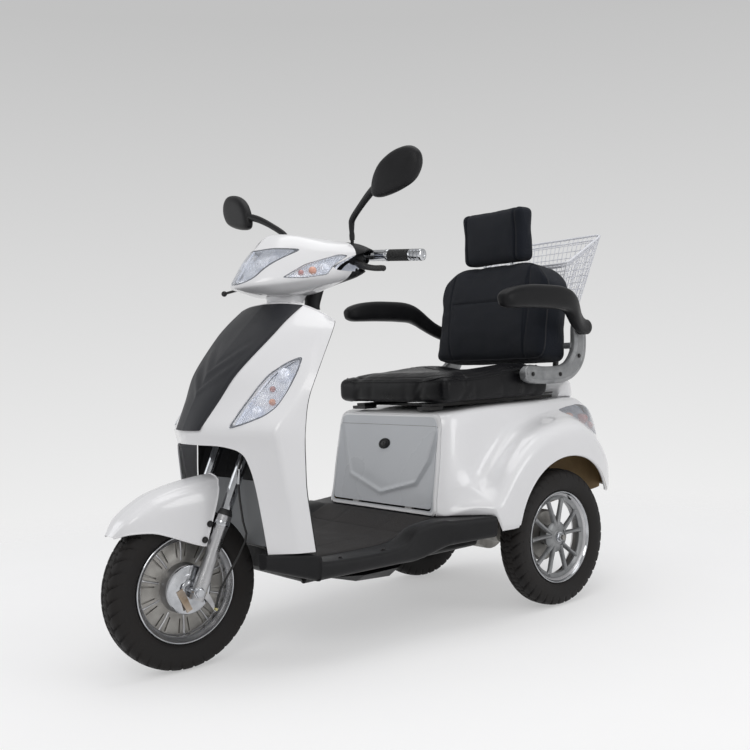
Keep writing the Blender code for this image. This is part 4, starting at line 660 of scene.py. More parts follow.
HEADLAMP = ((0.000, 0.975), (0.030, 0.979), (0.053, 0.990), (0.065, 1.018), (0.083, 1.044), (0.105, 1.069),
            (0.060, 1.074), (0.000, 1.071), (-0.060, 1.074), (-0.105, 1.069), (-0.083, 1.044), (-0.065, 1.018),
            (-0.053, 0.990), (-0.030, 0.979))
TURN_LAMP = ((0.096, 0.990), (0.120, 1.026), (0.165, 1.051), (0.182, 1.047), (0.167, 1.024), (0.159, 0.996),
             (0.126, 0.988))


def nacelle_body(name, grow, material):
    half = []
    for x, loop in NACELLE:
        middle = Vector((0, sum(y for y, z in loop) / 7, sum(z for y, z in loop) / 7))
        loop = [Vector((0, y, z)) for y, z in loop]
        loop = [p + (p - middle).normalized() * min(grow, 0.012) if grow > 0 else p + (p - middle) * (grow / max((p - middle).length, 0.02)) for p in loop]
        loop = [Vector((x, p.y, p.z)) for p in loop]
        half.append(rounded(loop, [0.016, 0.03, 0.028, 0.02, 0.03, 0.03, 0.03], 4, True, 3))
    rows = flow_rows(half, 7)
    rows = [[Vector((-p.x, p.y, p.z)) for p in row] for row in reversed(rows[1:])] + rows
    return solid(name, rows, material)


def half_space(name, front):
    low, high = Vector((0, -0.118, 0.930)), Vector((0, -0.076, 1.130))
    along = (high - low).normalized()
    back = Vector((0, -1, 0)) * (0.7 if front else -0.7)
    shift = Vector((0, 0.0003 * (1 if not front else 0), 0))
    corners = [low - along * 0.5, high + along * 0.5, high + along * 0.5 + back, low - along * 0.5 + back]
    return solid(name, [[Vector((x, c.y, c.z)) + shift for c in corners] for x in (-0.5, 0.5)], "white_paint")


BITE = flat([(0.163, 1.018), (0.186, 1.043), (0.215, 1.060), (0.260, 1.060), (0.260, 0.990), (0.190, 1.003),
             (0.170, 1.008)], 0.004)


def nacelle_shell(name, material, front):
    shell = nacelle_body(name, 0.0, material)
    tools = [nacelle_body("hollow", -0.004, material)]
    for side, sign in SIDES:
        bite = [(sign * x, z) for x, z in BITE]
        tools.append(prism("bite", bite, -0.5, 0.2))
    shell = cut(shell, tools)
    return boolean(shell, "INTERSECT", [half_space("half", front)])


front = nacelle_shell("nacelle_skin", "white_paint", True)
lamps = [("headlamp", HEADLAMP, 0.014, (0, -0.3), (0, -1, 0))]
for side, sign in SIDES:
    lamps.append(("turn_lamp_" + side, [(sign * x, z) for x, z in TURN_LAMP], 0.006, (sign * 0.1, -0.2), (sign * 0.5, -0.85, 0)))
cutters = [prism("lamp", flat(outline, radius), -0.6, -0.06) for _, outline, radius, _, _ in lamps]
nacelle = piece(cut(front, cutters), "steering", ["nacelle"])
piece(nacelle_shell("dash_skin", "black_plastic", False), "steering", ["dash_cover"])
for name, outline, radius, _, facing in lamps:
    window = flat(outline, radius)
    middle = (sum(p[0] for p in window) / len(window), sum(p[1] for p in window) / len(window))

    def window_prism(share, low=-0.6, high=-0.06):
        return prism("edge", [(middle[0] + (x - middle[0]) * share, middle[1] + (z - middle[1]) * share) for x, z in window], low, high)

    glass = cut(nacelle_body(name + "_glass", 0.0012, "clear_lens"), [nacelle_body("hollow", -0.0015, "clear_lens")])
    glass = boolean(glass, "INTERSECT", [window_prism(0.992)])
    piece(glass, "steering", [name])
    deep = 0.030 if name == "headlamp" else 0.018
    bowl = cut(nacelle_body(name + "_bowl", -deep, "reflector"), [nacelle_body("hollow", -deep - 0.002, "reflector")])
    piece(boolean(bowl, "INTERSECT", [window_prism(1.04)]), "steering")
    band = cut(nacelle_body(name + "_rim", -0.001, "lamp_rim"), [nacelle_body("hollow", -0.010, "lamp_rim")])
    band = boolean(band, "INTERSECT", [window_prism(0.999)])
    piece(cut(band, [window_prism(0.93)]), "steering")


def probe(obj, x, z, start=-0.7):
    """The datum y of the first surface met from the front at x, z on a placed piece."""
    hit, spot, _, _ = obj.ray_cast(SHIFT @ Vector((x, start, z)), Vector((0, 1, 0)))
    return (SHIFT.inverted() @ spot).y if hit else None


def bulb(name, place, size, material, axis, body):
    profile = [(-size * 1.15 * math.cos(k * math.pi / 10), size * math.sin(k * math.pi / 10)) for k in range(11)]
    piece(turned(name, profile, place, material, 24, axis), body)


glass = bpy.data.objects["headlamp_glass"]
for x, z, size in ((-0.034, 1.028, 0.017), (0.034, 1.028, 0.017)):
    level = probe(glass, x, z) + 0.020
    tag = "l" if x > 0 else "r"
    piece(turned("head_ring_" + tag, ((-0.010, 0.026), (-0.008, 0.027), (0.010, 0.012), (0.010, 0.004), (0.008, 0.004), (-0.010, 0.024)),
                 (x, level, z), "reflector", 40, (0, -1, 0.25), closed=True), "steering")
    bulb("head_bulb_" + tag, (x, level - 0.004, z), size * 0.5, "clear_lens", (0, -1, 0.2), "steering")
piece(tube("head_divider", flow([(0, probe(glass, 0, z) + 0.006, z) for z in (0.985, 1.010, 1.040, 1.066)], 4), 0.003, "reflector", 8),
      "steering")
for side, sign in SIDES:
    glass = bpy.data.objects["turn_lamp_%s_glass" % side]
    for k, (x, z, tone, size) in enumerate(((0.132, 1.008, "amber", 0.011), (0.147, 1.015, "reflector", 0.013),
                                            (0.116, 1.003, "bulb_red", 0.008))):
        level = probe(glass, sign * x, z)
        if level is not None:
            bulb("turn_bulb_%s_%d" % (side, k), (sign * x, level + 0.011, z), size, tone, (sign * 0.6, -0.8, 0.1), "steering")

neck = []
for z, front_y, rear_y, half in ((0.965, -0.262, -0.120, 0.062), (0.948, -0.252, -0.132, 0.050), (0.936, -0.248, -0.140, 0.046),
                                 (0.929, -0.250, -0.142, 0.047)):
    middle, reach = (front_y + rear_y) / 2, (rear_y - front_y) / 2
    neck.append([(half * math.cos(t), middle + reach * math.sin(t), z) for t in [k * math.pi / 20 for k in range(40)]])
piece(solid("neck_skirt", flow_rows([list(map(Vector, ring)) for ring in neck], 4), "white_paint"), "steering")
boot = []
for z, middle, half_x, half_y in ((0.985, -0.088, 0.030, 0.030), (0.955, -0.096, 0.026, 0.026), (0.925, -0.102, 0.022, 0.022), (0.912, -0.104, 0.024, 0.024)):
    boot.append([Vector((half_x * math.cos(t), middle + half_y * math.sin(t), z)) for t in [k * math.pi / 14 for k in range(28)]])
piece(solid("column_boot", flow_rows(boot, 5), "black_plastic"), "steering")


# Front fender

FENDER = (
    # top angle from upright about the axle, clearance over the tyre, the same for the skirt, half width
    (-50.2, 0.0407, -50.3, 0.0351, 0.022),
    (-37.2, 0.0477, -43.5, 0.0172, 0.048),
    (-21.3, 0.0516, -32.6, -0.0174, 0.060),
    (-8.2, 0.0567, -22.3, -0.0493, 0.064),
    (3.9, 0.0666, -8.7, -0.0765, 0.065),
    (13.6, 0.0801, 7.7, -0.0910, 0.065),
    (19.9, 0.0896, 20.9, -0.0925, 0.064),
)
FRONT_AXLE = Vector((0, -AXLE_Y, TYRE_RADIUS))


def over_tyre(degrees, clearance):
    reach, angle = TYRE_RADIUS + clearance, math.radians(degrees)
    return -AXLE_Y + reach * math.sin(angle), TYRE_RADIUS + reach * math.cos(angle)


fender_rows = []
for top_angle, top_gap, skirt_angle, skirt_gap, half in FENDER:
    (ty, tz), (sy, sz) = over_tyre(top_angle, top_gap), over_tyre(skirt_angle, skirt_gap)
    down = [(0, 0), (0.42, 0.03), (0.66, 0.07), (0.72, 0.13), (0.90, 0.20), (1, 0.42), (1, 1)]
    section = [(half * w, ty + (sy - ty) * d, tz + (sz - tz) * d) for w, d in down]
    fender_rows.append(rounded(section, [0, 0.02, 0.006, 0.006, 0.02, 0.03, 0], 4, between=3))
fender_rows = [both_sides(half) for half in flow_rows(fender_rows, 8)]
piece(grid("front_mudguard", fender_rows, "white_paint", FRONT_AXLE, 0.003), "steering", ["front_fender"])
edge = [row[-1] for row in fender_rows] + list(reversed(fender_rows[-1]))[1:-1] + [row[0] for row in reversed(fender_rows)]
piece(tube("mudguard_bead", edge, 0.0022, "white_paint", 8), "steering")
for side, sign in SIDES:
    for k, (y, z) in enumerate(((-0.499, 0.366), (-0.515, 0.328))):
        screw = bolt((sign * 0.0668, y, z), (sign, 0, 0), 0.0055)
        screw.name = "mudguard_bolt_%s_%d" % (side, k)
        piece(screw, "steering")


# Rear bodywork

WALL = 0.004
ARCH_Y, ARCH_Z, ARCH_RADIUS, FENDER_RADIUS = 0.565, 0.213, 0.245, 0.341
REAR_BODY = (
    # y, lean, top z, top x, shoulder x, inner crease x, z, outer crease x, z, bottom z
    (0.118, 0.050, 0.600, 0.215, 0.228, 0.236, 0.450, 0.240, 0.360, 0.316),
    (0.145, 0.050, 0.606, 0.232, 0.246, 0.255, 0.440, 0.262, 0.350, 0.316),
    (0.200, 0.040, 0.609, 0.238, 0.252, 0.268, 0.420, 0.315, 0.365, 0.316),
    (0.2385, 0.030, 0.611, 0.240, 0.254, 0.272, 0.400, 0.362, 0.362, 0.316),
    (0.260, 0.024, 0.612, 0.240, 0.254, 0.272, 0.405, 0.368, 0.382, 0.262),
    (0.320, 0.010, 0.614, 0.240, 0.254, 0.272, 0.460, 0.370, 0.448, 0.262),
    (0.400, 0.0, 0.616, 0.240, 0.254, 0.270, 0.520, 0.370, 0.506, 0.270),
    (0.480, 0.0, 0.617, 0.240, 0.254, 0.270, 0.550, 0.370, 0.538, 0.280),
    (0.565, 0.0, 0.618, 0.240, 0.254, 0.272, 0.568, 0.370, 0.554, 0.290),
    (0.650, 0.0, 0.618, 0.236, 0.252, 0.274, 0.578, 0.368, 0.548, 0.300),
    (0.730, 0.0, 0.618, 0.228, 0.250, 0.274, 0.580, 0.355, 0.505, 0.305),
    (0.800, 0.0, 0.616, 0.205, 0.236, 0.266, 0.570, 0.330, 0.450, 0.310),
    (0.850, 0.0, 0.610, 0.165, 0.205, 0.238, 0.545, 0.292, 0.400, 0.315),
    (0.880, 0.0, 0.590, 0.110, 0.150, 0.180, 0.520, 0.220, 0.380, 0.320),
)
BODY_RADII = (0, 0.020, 0.024, 0.040, 0.022, 0.022, 0.010, 0.008, 0)


def body_half(row, wall=0.0):
    """Half a section of the rear body, the wall thickness inside its outer face."""
    y, lean, top, tx, sx, ix, iz, ox, oz, bottom = row
    low = bottom if wall <= 0 else 0.15
    half = [(0, top - wall), (tx - wall / 2, top - wall), (sx - wall, top - 0.022 - wall / 2), (ix - wall, iz - wall),
            (max(ox - 0.030, ix) - wall, oz + 0.004 - wall), (ox - wall, oz - 0.024 - wall),
            (ox - wall, min(bottom + 0.02, oz - 0.032 - wall)), (ox - 0.008 - wall, low), (0, low)]
    line = [(x, y + lean * (z - bottom) / (top - bottom), z) for x, z in half]
    return rounded(line, list(BODY_RADII), 4, between=3)


def body_loft(name, wall, material):
    rows = [body_half(row, wall) for row in REAR_BODY]
    low, high = flow_rows(rows[:4], 6), flow_rows(rows[4:], 5)
    halves = low[:-1] + [rows[3]] + high
    if wall > 0:
        halves[0] = [Vector((p.x * 0.97, p.y + wall, p.z)) for p in halves[0]]
        halves[-1] = [Vector((p.x * 0.97, p.y - wall, p.z)) for p in halves[-1]]
    else:
        for end, step in ((0, 1), (-1, -1)):
            first = halves[end]
            middle = Vector((0, sum(p.y for p in first) / len(first), 0.45))
            lip = []
            for p in first:
                share = 1 - 0.006 / max(abs(p.x), 0.05)
                lip.append(Vector((p.x * share, p.y - step * 0.0002, middle.z + (p.z - middle.z) * 0.978)))
            back = [Vector((p.x, p.y + step * 0.0045, p.z)) for p in first]
            halves[end] = back
            halves = [lip] + halves if end == 0 else halves + [lip]
    rings = [half + [Vector((-p.x, p.y, p.z)) for p in reversed(half[1:-1])] for half in halves]
    return solid(name, rings, material)


def x_prism(name, outline, low, high, material="white_paint"):
    return prism(name, outline, low, high, "X", material)


def drum(name, radius, low, high, material, steps=96):
    return turned(name, ((low, radius), (high, radius)), (0, ARCH_Y, ARCH_Z), material, steps)


HATCH_SLOPE = 0.050 / (0.600 - 0.316)
HATCH_LOW, HATCH_TALL, HATCH_HALF = 0.335, 0.235, 0.222
HATCH_FRAME = (Matrix.Translation((0, 0.118 + (HATCH_LOW - 0.316) * HATCH_SLOPE, HATCH_LOW))
               @ Matrix.Rotation(-math.atan(HATCH_SLOPE), 4, "X"))
HATCH_COS = math.cos(math.atan(HATCH_SLOPE))
VEE = ((-0.213, 0.594), (-0.176, 0.483), (-0.150, 0.412), (0, 0.366), (0.150, 0.404), (0.196, 0.470), (0.232, 0.594))
VEE_LINE = [(x, (z - HATCH_LOW) / HATCH_COS) for x, z in VEE]


def to_vee(x, h):
    """Distance from the pressed line on the seat box, positive inside the V."""
    best, side = 9.0, 1
    for (ax, ah), (bx, bh) in zip(VEE_LINE, VEE_LINE[1:]):
        run = (bx - ax) ** 2 + (bh - ah) ** 2
        t = max(0.0, min(1.0, ((x - ax) * (bx - ax) + (h - ah) * (bh - ah)) / run))
        gap = math.hypot(x - ax - t * (bx - ax), h - ah - t * (bh - ah))
        if gap < best:
            best, side = gap, (bx - ax) * (h - ah) - (bh - ah) * (x - ax)
    return best if side > 0 else -best


def pressed_sheet(name, outline, wall, proud, material):
    """A plate on the seat box's front, with the V pressed into it, cut to an outline of (across, up the slope)."""
    columns, ranks = 96, 60
    rows = []
    for b in range(ranks + 1):
        h = -0.030 + 0.325 * b / ranks
        rows.append([])
        for a in range(columns + 1):
            x = -0.260 + 0.520 * a / columns
            gap = to_vee(x, h)
            ridge = 0.0030 * math.exp(-((gap / 0.0048) ** 2)) + 0.0020 / (1 + math.exp(-gap / 0.003))
            rows[-1].append(HATCH_FRAME @ Vector((x, -proud - ridge, h)))
    sheet = grid(name, rows, material, (0, 0.6, 0.5), wall)
    edge = solid("edge", [[HATCH_FRAME @ Vector((x, d, h)) for x, h in outline] for d in (-0.05, 0.05)], material)
    return boolean(sheet, "INTERSECT", [edge])


def hatch_outline(gap, hinge_gap=0.0, radius=0.012):
    half, low, high = HATCH_HALF + gap, -hinge_gap, HATCH_TALL + gap
    return flat([(-half, low), (half, low), (half, high), (-half, high)], radius)


body = body_loft("rear_bodywork", 0.0, ["white_paint", "liner_tan"])
for face in body.data.polygons:
    face.material_index = 0
tools = [boolean(body_loft("cavity", WALL, "liner_tan"), "INTERSECT",
                 [prism("middle", [(-0.238, 0.05), (0.238, 0.05), (0.238, 0.9), (-0.238, 0.9)], 0, 0.874, material="liner_tan")])]
for side, sign in SIDES:
    span = sorted((sign * 0.246, sign * 0.5))
    tools.append(boolean(body_loft("well", WALL, "liner_tan"), "INTERSECT",
                         [drum("drum", FENDER_RADIUS - WALL, *span, "liner_tan")]))
    tools.append(drum("arch", ARCH_RADIUS, *sorted((sign * 0.2472, sign * 0.52)), "liner_tan"))
hole = hatch_outline(0.0008, 0.0055)
tools.append(solid("hatch_hole", [[HATCH_FRAME @ Vector((x, d, h)) for x, h in hole] for d in (-0.03, 0.05)], "liner_tan"))
TAIL_LAMP = flat([(0.640, 0.585), (0.690, 0.592), (0.760, 0.596), (0.815, 0.588), (0.850, 0.562), (0.856, 0.525), (0.835, 0.490),
                  (0.790, 0.500), (0.735, 0.522), (0.680, 0.555)], 0.014)
for side, sign in SIDES:
    tools.append(x_prism("lamp_hole", TAIL_LAMP, *sorted((sign * 0.205, sign * 0.41)), "liner_tan"))
outer = bvhtree.BVHTree.FromObject(body, bpy.context.evaluated_depsgraph_get())
boolean(body, "DIFFERENCE", tools, 32)
for face in body.data.polygons:
    gap = outer.find_nearest(face.center)[3]
    lamp_edge = 0.62 < face.center.y < 0.87 and face.center.z > 0.48 and abs(face.center.x) > 0.2
    face.material_index = int((gap is None or gap > 0.0008) and not lamp_edge)
piece(body, "chassis", ["rear_body"])

face_edge = [(p.x, (p.z - HATCH_LOW) / HATCH_COS) for p in body_half(REAR_BODY[0])]
shrink = [(x * (1 - 0.010 / 0.22), 0.1275 + (h - 0.1275) * 0.945) for x, h in face_edge if h > -0.0175]
outline = shrink + [(-x, h) for x, h in reversed(shrink[1:])]
# the seat box front and the hatch take the white paint with painted shade
front_sheet = pressed_sheet("seat_box_front", outline, 0.0022, 0.0012, "hatch_paint")
hole_tool = solid("hatch_hole", [[HATCH_FRAME @ Vector((x, d, h)) for x, h in hole] for d in (-0.05, 0.05)], "hatch_paint")
piece(cut(front_sheet, [hole_tool]), "chassis")
piece(pressed_sheet("hatch_panel", hatch_outline(0.0), 0.006, 0.0012, "hatch_paint"), "hatch", ["seat_box_hatch"])
for side, sign in SIDES:
    lug = [(-0.002, -0.010), (0.014, -0.010), (0.017, 0.0), (0.014, 0.010), (0.004, 0.012), (0.004, -0.002)]
    rings = [[HATCH_FRAME @ Vector((sign * 0.12 + dx, 0.004 + d * 0.7, h)) for d, h in flat(lug, 0.003)] for dx in (-0.015, 0.015)]
    piece(solid("hatch_lug_" + side, rings, "white_paint"), "hatch")

lock = HATCH_FRAME @ Vector((0, -0.0025, 0.178))
facing = HATCH_FRAME.to_3x3() @ Vector((0, -1, 0))
collar = turned("lock_collar", ((-0.002, 0.0), (-0.002, 0.0175), (0.003, 0.0175), (0.0045, 0.015), (0.0045, 0.011), (0.0025, 0.010),
                                (0.0025, 0)), (0, 0, 0), "black_plastic", 40)
barrel = turned("lock_barrel", ((0, 0), (0.0, 0.0098), (0.0040, 0.0098), (0.0050, 0.0085), (0.0050, 0)), (0, 0, 0), "black_steel", 32)
slit = prism("slit", [(-0.0009, -0.0055), (0.0009, -0.0055), (0.0009, 0.0055), (-0.0009, 0.0055)], 0.003, 0.008, "X", "black_steel")
turn = Vector((1, 0, 0)).rotation_difference(facing).to_matrix().to_4x4()
for part, body_name in ((collar, "lock_collar"), (cut(barrel, [slit]), "lock_barrel")):
    part.data.transform(Matrix.Diagonal((1, 1.4, 0.9, 1)))
    part.data.transform(Matrix.Translation(lock) @ turn)
    piece(part, "hatch", ["hatch_lock"] if part is collar or body_name == "lock_collar" else ())

for side, sign in SIDES:
    span = sorted((sign * 0.205, sign * 0.40))
    shrunk_lamp = flat([(0.748 + (y - 0.748) * 0.992, 0.545 + (z - 0.545) * 0.985) for y, z in TAIL_LAMP], 0.0005, 1)
    glass = boolean(body_loft("tail_glass_" + side, -0.0016, "tail_lens"), "INTERSECT", [x_prism("edge", shrunk_lamp, *span)])
    piece(cut(glass, [body_loft("hollow", 0.0008, "tail_lens")]), "chassis", ["tail_lamp_" + side])
    bowl = boolean(body_loft("tail_bowl_" + side, 0.016, "tail_reflector"), "INTERSECT", [x_prism("edge", TAIL_LAMP, *span)])
    piece(cut(bowl, [body_loft("hollow", 0.018, "tail_reflector")]), "chassis")
    for k, (y, z, tone, size) in enumerate(((0.700, 0.572, "amber", 0.013), (0.765, 0.560, "bulb_red", 0.018), (0.820, 0.535, "bulb_red", 0.014))):
        hit, spot, _, _ = body.ray_cast(SHIFT @ Vector((sign * 0.5, y, z - 0.06)), Vector((-sign, 0, 0)))
        level = 0.262 if y < 0.8 else 0.245
        bulb("tail_bulb_%s_%d" % (side, k), (sign * level, y, z - 0.012), size, tone, (sign, 0.3, 0.1), "chassis")

cap_rows = []
for y, half, low, high in ((0.745, 0.188, 0.6184, 0.6300), (0.757, 0.190, 0.6184, 0.6480), (0.800, 0.190, 0.6170, 0.6718),
                           (0.835, 0.172, 0.6130, 0.6718), (0.852, 0.150, 0.6105, 0.6640)):
    half_line = [(0, y, high), (half * 0.7, y, high), (half - 0.006, y, high - 0.003), (half, y, low + 0.006), (half - 0.01, y, low), (0, y, low)]
    half_line = rounded(half_line, [0, 0.05, 0.014, 0.01, 0.006, 0], 4, between=2)
    cap_rows.append(half_line + [Vector((-p.x, p.y, p.z)) for p in reversed(half_line[1:-1])])
piece(solid("tail_cover", flow_rows(cap_rows, 4), "white_paint"), "chassis", ["tail_cap"])

for side, sign in SIDES:
    arc = []
    for k in range(49):
        t = math.radians(172 - k * (172 + 6) / 48)
        y, z = ARCH_Y + (ARCH_RADIUS - 0.0015) * math.cos(t), ARCH_Z + (ARCH_RADIUS - 0.0015) * math.sin(t)
        hit, spot, _, _ = body.ray_cast(SHIFT @ Vector((sign * 0.5, y + 0.006 * math.cos(t), z + 0.006 * math.sin(t))), Vector((-sign, 0, 0)))
        if hit and abs(spot.x) > 0.28:
            arc.append((spot.x - sign * 0.0035, y, z))
    piece(tube("arch_bead_" + side, arc, 0.0042, "white_paint", 10, up=(1, 0, 0)), "chassis")


# Footboard

FLOOR, PLATFORM, FLOOR_LOW = 0.265, 0.315, 0.220
FLOOR_ROWS = (
    # y, half width at the top, middle z, edge z, bottom z
    (-0.430, 0.215, FLOOR + 0.020, FLOOR + 0.028, FLOOR - 0.010),
    (-0.320, 0.280, FLOOR + 0.010, FLOOR + 0.020, FLOOR_LOW),
    (-0.300, 0.290, FLOOR, FLOOR + 0.002, FLOOR_LOW),
    (-0.070, 0.300, FLOOR, FLOOR, FLOOR_LOW),
    (0.005, 0.303, FLOOR + 0.010, FLOOR + 0.044, FLOOR_LOW),
    (0.080, 0.318, PLATFORM - 0.010, PLATFORM + 0.004, FLOOR_LOW + 0.020),
    (0.105, 0.325, PLATFORM - 0.002, PLATFORM + 0.001, FLOOR_LOW + 0.026),
    (0.130, 0.332, PLATFORM, PLATFORM, FLOOR_LOW + 0.028),
    (0.238, 0.368, PLATFORM, PLATFORM, FLOOR_LOW + 0.034),
)


def floor_ring(row):
    y, half, middle, edge, bottom = row
    line = [(0, y, middle), (half * 0.70, y, middle), (half * 0.80, y, edge), (half - 0.004, y, edge), (half, y, edge - 0.012),
            (half - 0.003, y, bottom + 0.012), (half - 0.014, y, bottom), (half * 0.6, y, bottom), (0, y, bottom)]
    return rounded(line, [0, 0.03, 0.03, 0.008, 0.006, 0.006, 0.010, 0, 0], 3, between=3)


halves = flow_rows([floor_ring(row) for row in FLOOR_ROWS], 5)
rings = [half + [Vector((-p.x, p.y, p.z)) for p in reversed(half[1:-1])] for half in halves]
board = solid("floor_tray", rings, "black_plastic")
sweep = turned("sweep", ((0.1, 0.2125), (0.5, 0.2125)), (0, -0.545, 0), "black_plastic", 96, (0, 0, 1))
down_y = TYRE_RADIUS - AXLE_Y + 0.0775
hole = turned("hole", ((0.1, 0.0225), (0.5, 0.0225)), (0, down_y, 0), "black_plastic", 32, (0, 0, 1))
board = piece(cut(board, [sweep, hole]), "chassis", ["footboard"])
mat_rows = []
for k in range(67):
    y = -0.285 + 0.395 * k / 66
    near = min(FLOOR_ROWS, key=lambda row: abs(row[0] - y))
    lo = max((row for row in FLOOR_ROWS if row[0] <= y), key=lambda row: row[0])
    hi = min((row for row in FLOOR_ROWS if row[0] > y), key=lambda row: row[0])
    t = (y - lo[0]) / (hi[0] - lo[0])
    half = (lo[1] + (hi[1] - lo[1]) * t) * 0.72
    mat_rows.append([])
    for a in range(61):
        x = -half + 2 * half * a / 60
        hit, spot, _, _ = board.ray_cast(SHIFT @ Vector((x, y, 0.6)), Vector((0, 0, -1)))
        z = spot.z if hit else FLOOR
        rim = min(1.0, (half - abs(x)) / 0.008, (y + 0.285) / 0.008, (0.11 - y) / 0.008)
        seam = math.exp(-(((y + 0.085) / 0.003) ** 2)) + math.exp(-(((y - 0.02) / 0.003) ** 2)) + math.exp(-(((abs(x) - 0.105) / 0.003) ** 2))
        mat_rows[-1].append((x, y, z + 0.0006 + 0.0030 * max(rim, 0) ** 0.5 - 0.0022 * min(seam, 1) * max(rim, 0)))
piece(grid("floor_mat", mat_rows, "floor_mat", (0, 0, 0), 0.0), "chassis")
for k, (x, y) in enumerate(((0.262, -0.24), (0.268, -0.10), (-0.262, -0.24), (-0.268, -0.10))):
    hit, spot, _, _ = board.ray_cast(SHIFT @ Vector((x, y, 0.6)), Vector((0, 0, -1)))
    if hit:
        screw = bolt((x, y, spot.z), (0, 0, 1), 0.005, "black_steel")
        screw.name = "floor_screw_%d" % k
        piece(screw, "chassis")



# Wheels

BEAD = RIM_RADIUS + 0.0003
TYRE_HALF, TYRE_TALL = 0.041, TYRE_RADIUS - BEAD
# share of the half width, share of the tyre's height, from the bead to the middle of the tread
TYRE_SIDE = ((0.60, -0.03), (0.70, 0.02), (0.86, 0.13), (0.96, 0.32), (1.0, 0.53), (0.97, 0.70), (0.90, 0.83), (0.72, 0.93),
             (0.42, 0.985), (0.0, 1.0))
TREAD_PITCH = 2 * math.pi / 38


def tread_depth(turn, across, height):
    """How deep the tread is cut: slanting shoulder grooves, a zigzag on each side of the middle, and small sipes."""
    if height < 0.60:
        return 0.0
    share = turn / TREAD_PITCH
    side = abs(across)
    wave = abs((share % 1.0) - 0.5) * 2

    def groove(distance, width):
        return max(0.0, min(1.0, (width - abs(distance)) / (width * 0.55)))

    slant = share + 0.95 * side + (0.5 if across > 0 else 0.0)
    shoulder = groove(((slant + 0.5) % 1.0) - 0.5, 0.115) if side > 0.30 and height < 0.995 else 0.0
    zigzag = groove(side - 0.24 - 0.075 * wave, 0.052)
    sipe = 0.6 * groove(((share * 2 + 0.5 - side * 0.6) % 1.0) - 0.5, 0.10) if side < 0.18 else 0.0
    fade = min(1.0, (height - 0.60) / 0.08)
    return 0.0046 * max(shoulder, zigzag, sipe) * fade


def tyre_mesh(name, centre, steps=456):
    line = flow([(w, h, 0) for w, h in TYRE_SIDE], 4)
    section = [(-p.x, p.y) for p in line] + [(p.x, p.y) for p in reversed(line[:-1])]
    places = [(w * TYRE_HALF, BEAD + h * TYRE_TALL, w, h) for w, h in section]
    bm = bmesh.new()
    rings = []
    for k in range(steps):
        turn = 2 * math.pi * k / steps
        cos, sin = math.cos(turn), math.sin(turn)
        ring = []
        for x, radius, w, h in places:
            lip = 0.0009 * math.exp(-(((h - 0.20) / 0.022) ** 2)) + 0.0007 * math.exp(-(((h - 0.47) / 0.015) ** 2))
            depth = tread_depth(turn, w, h) - lip * (abs(w) > 0.7 and abs(w) < 0.985)
            ring.append(bm.verts.new((centre[0] + x * (1 - depth * 4), centre[1] + (radius - depth) * cos,
                                      centre[2] + (radius - depth) * sin)))
        rings.append(ring)
    for k in range(steps):
        first, second = rings[k], rings[(k + 1) % steps]
        for a in range(len(first)):
            b = (a + 1) % len(first)
            bm.faces.new((first[a], first[b], second[b], second[a]))
    bmesh.ops.recalc_face_normals(bm, faces=bm.faces)
    return from_bmesh(name, bm, "tyre_rubber", 50)


def about(centre, radius, degrees, x=0.0):
    turn = math.radians(degrees)
    return Vector((centre[0] + x, centre[1] + radius * math.cos(turn), centre[2] + radius * math.sin(turn)))


def wheel_ring(name, centre, sign, material, profile, steps=144):
    """A turned ring from (outwards from the wheel's middle, radius) pairs, closed."""
    return turned(name, [(sign * out, radius) for out, radius in profile], centre, material, steps, closed=True)


def spoke(name, centre, sign, start, end, shares, material, bend=0.0):
    """A cast arm from (radius, degrees) to (radius, degrees); shares are rows of (along, half width, face, depth)."""
    (r0, a0), (r1, a1) = start, end
    rings = []
    for along, half, face, depth in shares:
        radius = r0 + (r1 - r0) * along
        degrees = a0 + (a1 - a0) * along + bend * math.sin(along * math.pi)
        ring = []
        for w, d in ((-1, -1), (-1, -0.2), (-0.72, 0.55), (-0.30, 0.95), (0.30, 0.95), (0.72, 0.55), (1, -0.2), (1, -1)):
            angle = degrees + math.degrees(w * half / radius)
            ring.append(about(centre, radius, angle, sign * (face + d * depth)))
        rings.append(ring)
    rings = flow_rows(rings, 4)
    return solid(name, rings, material)


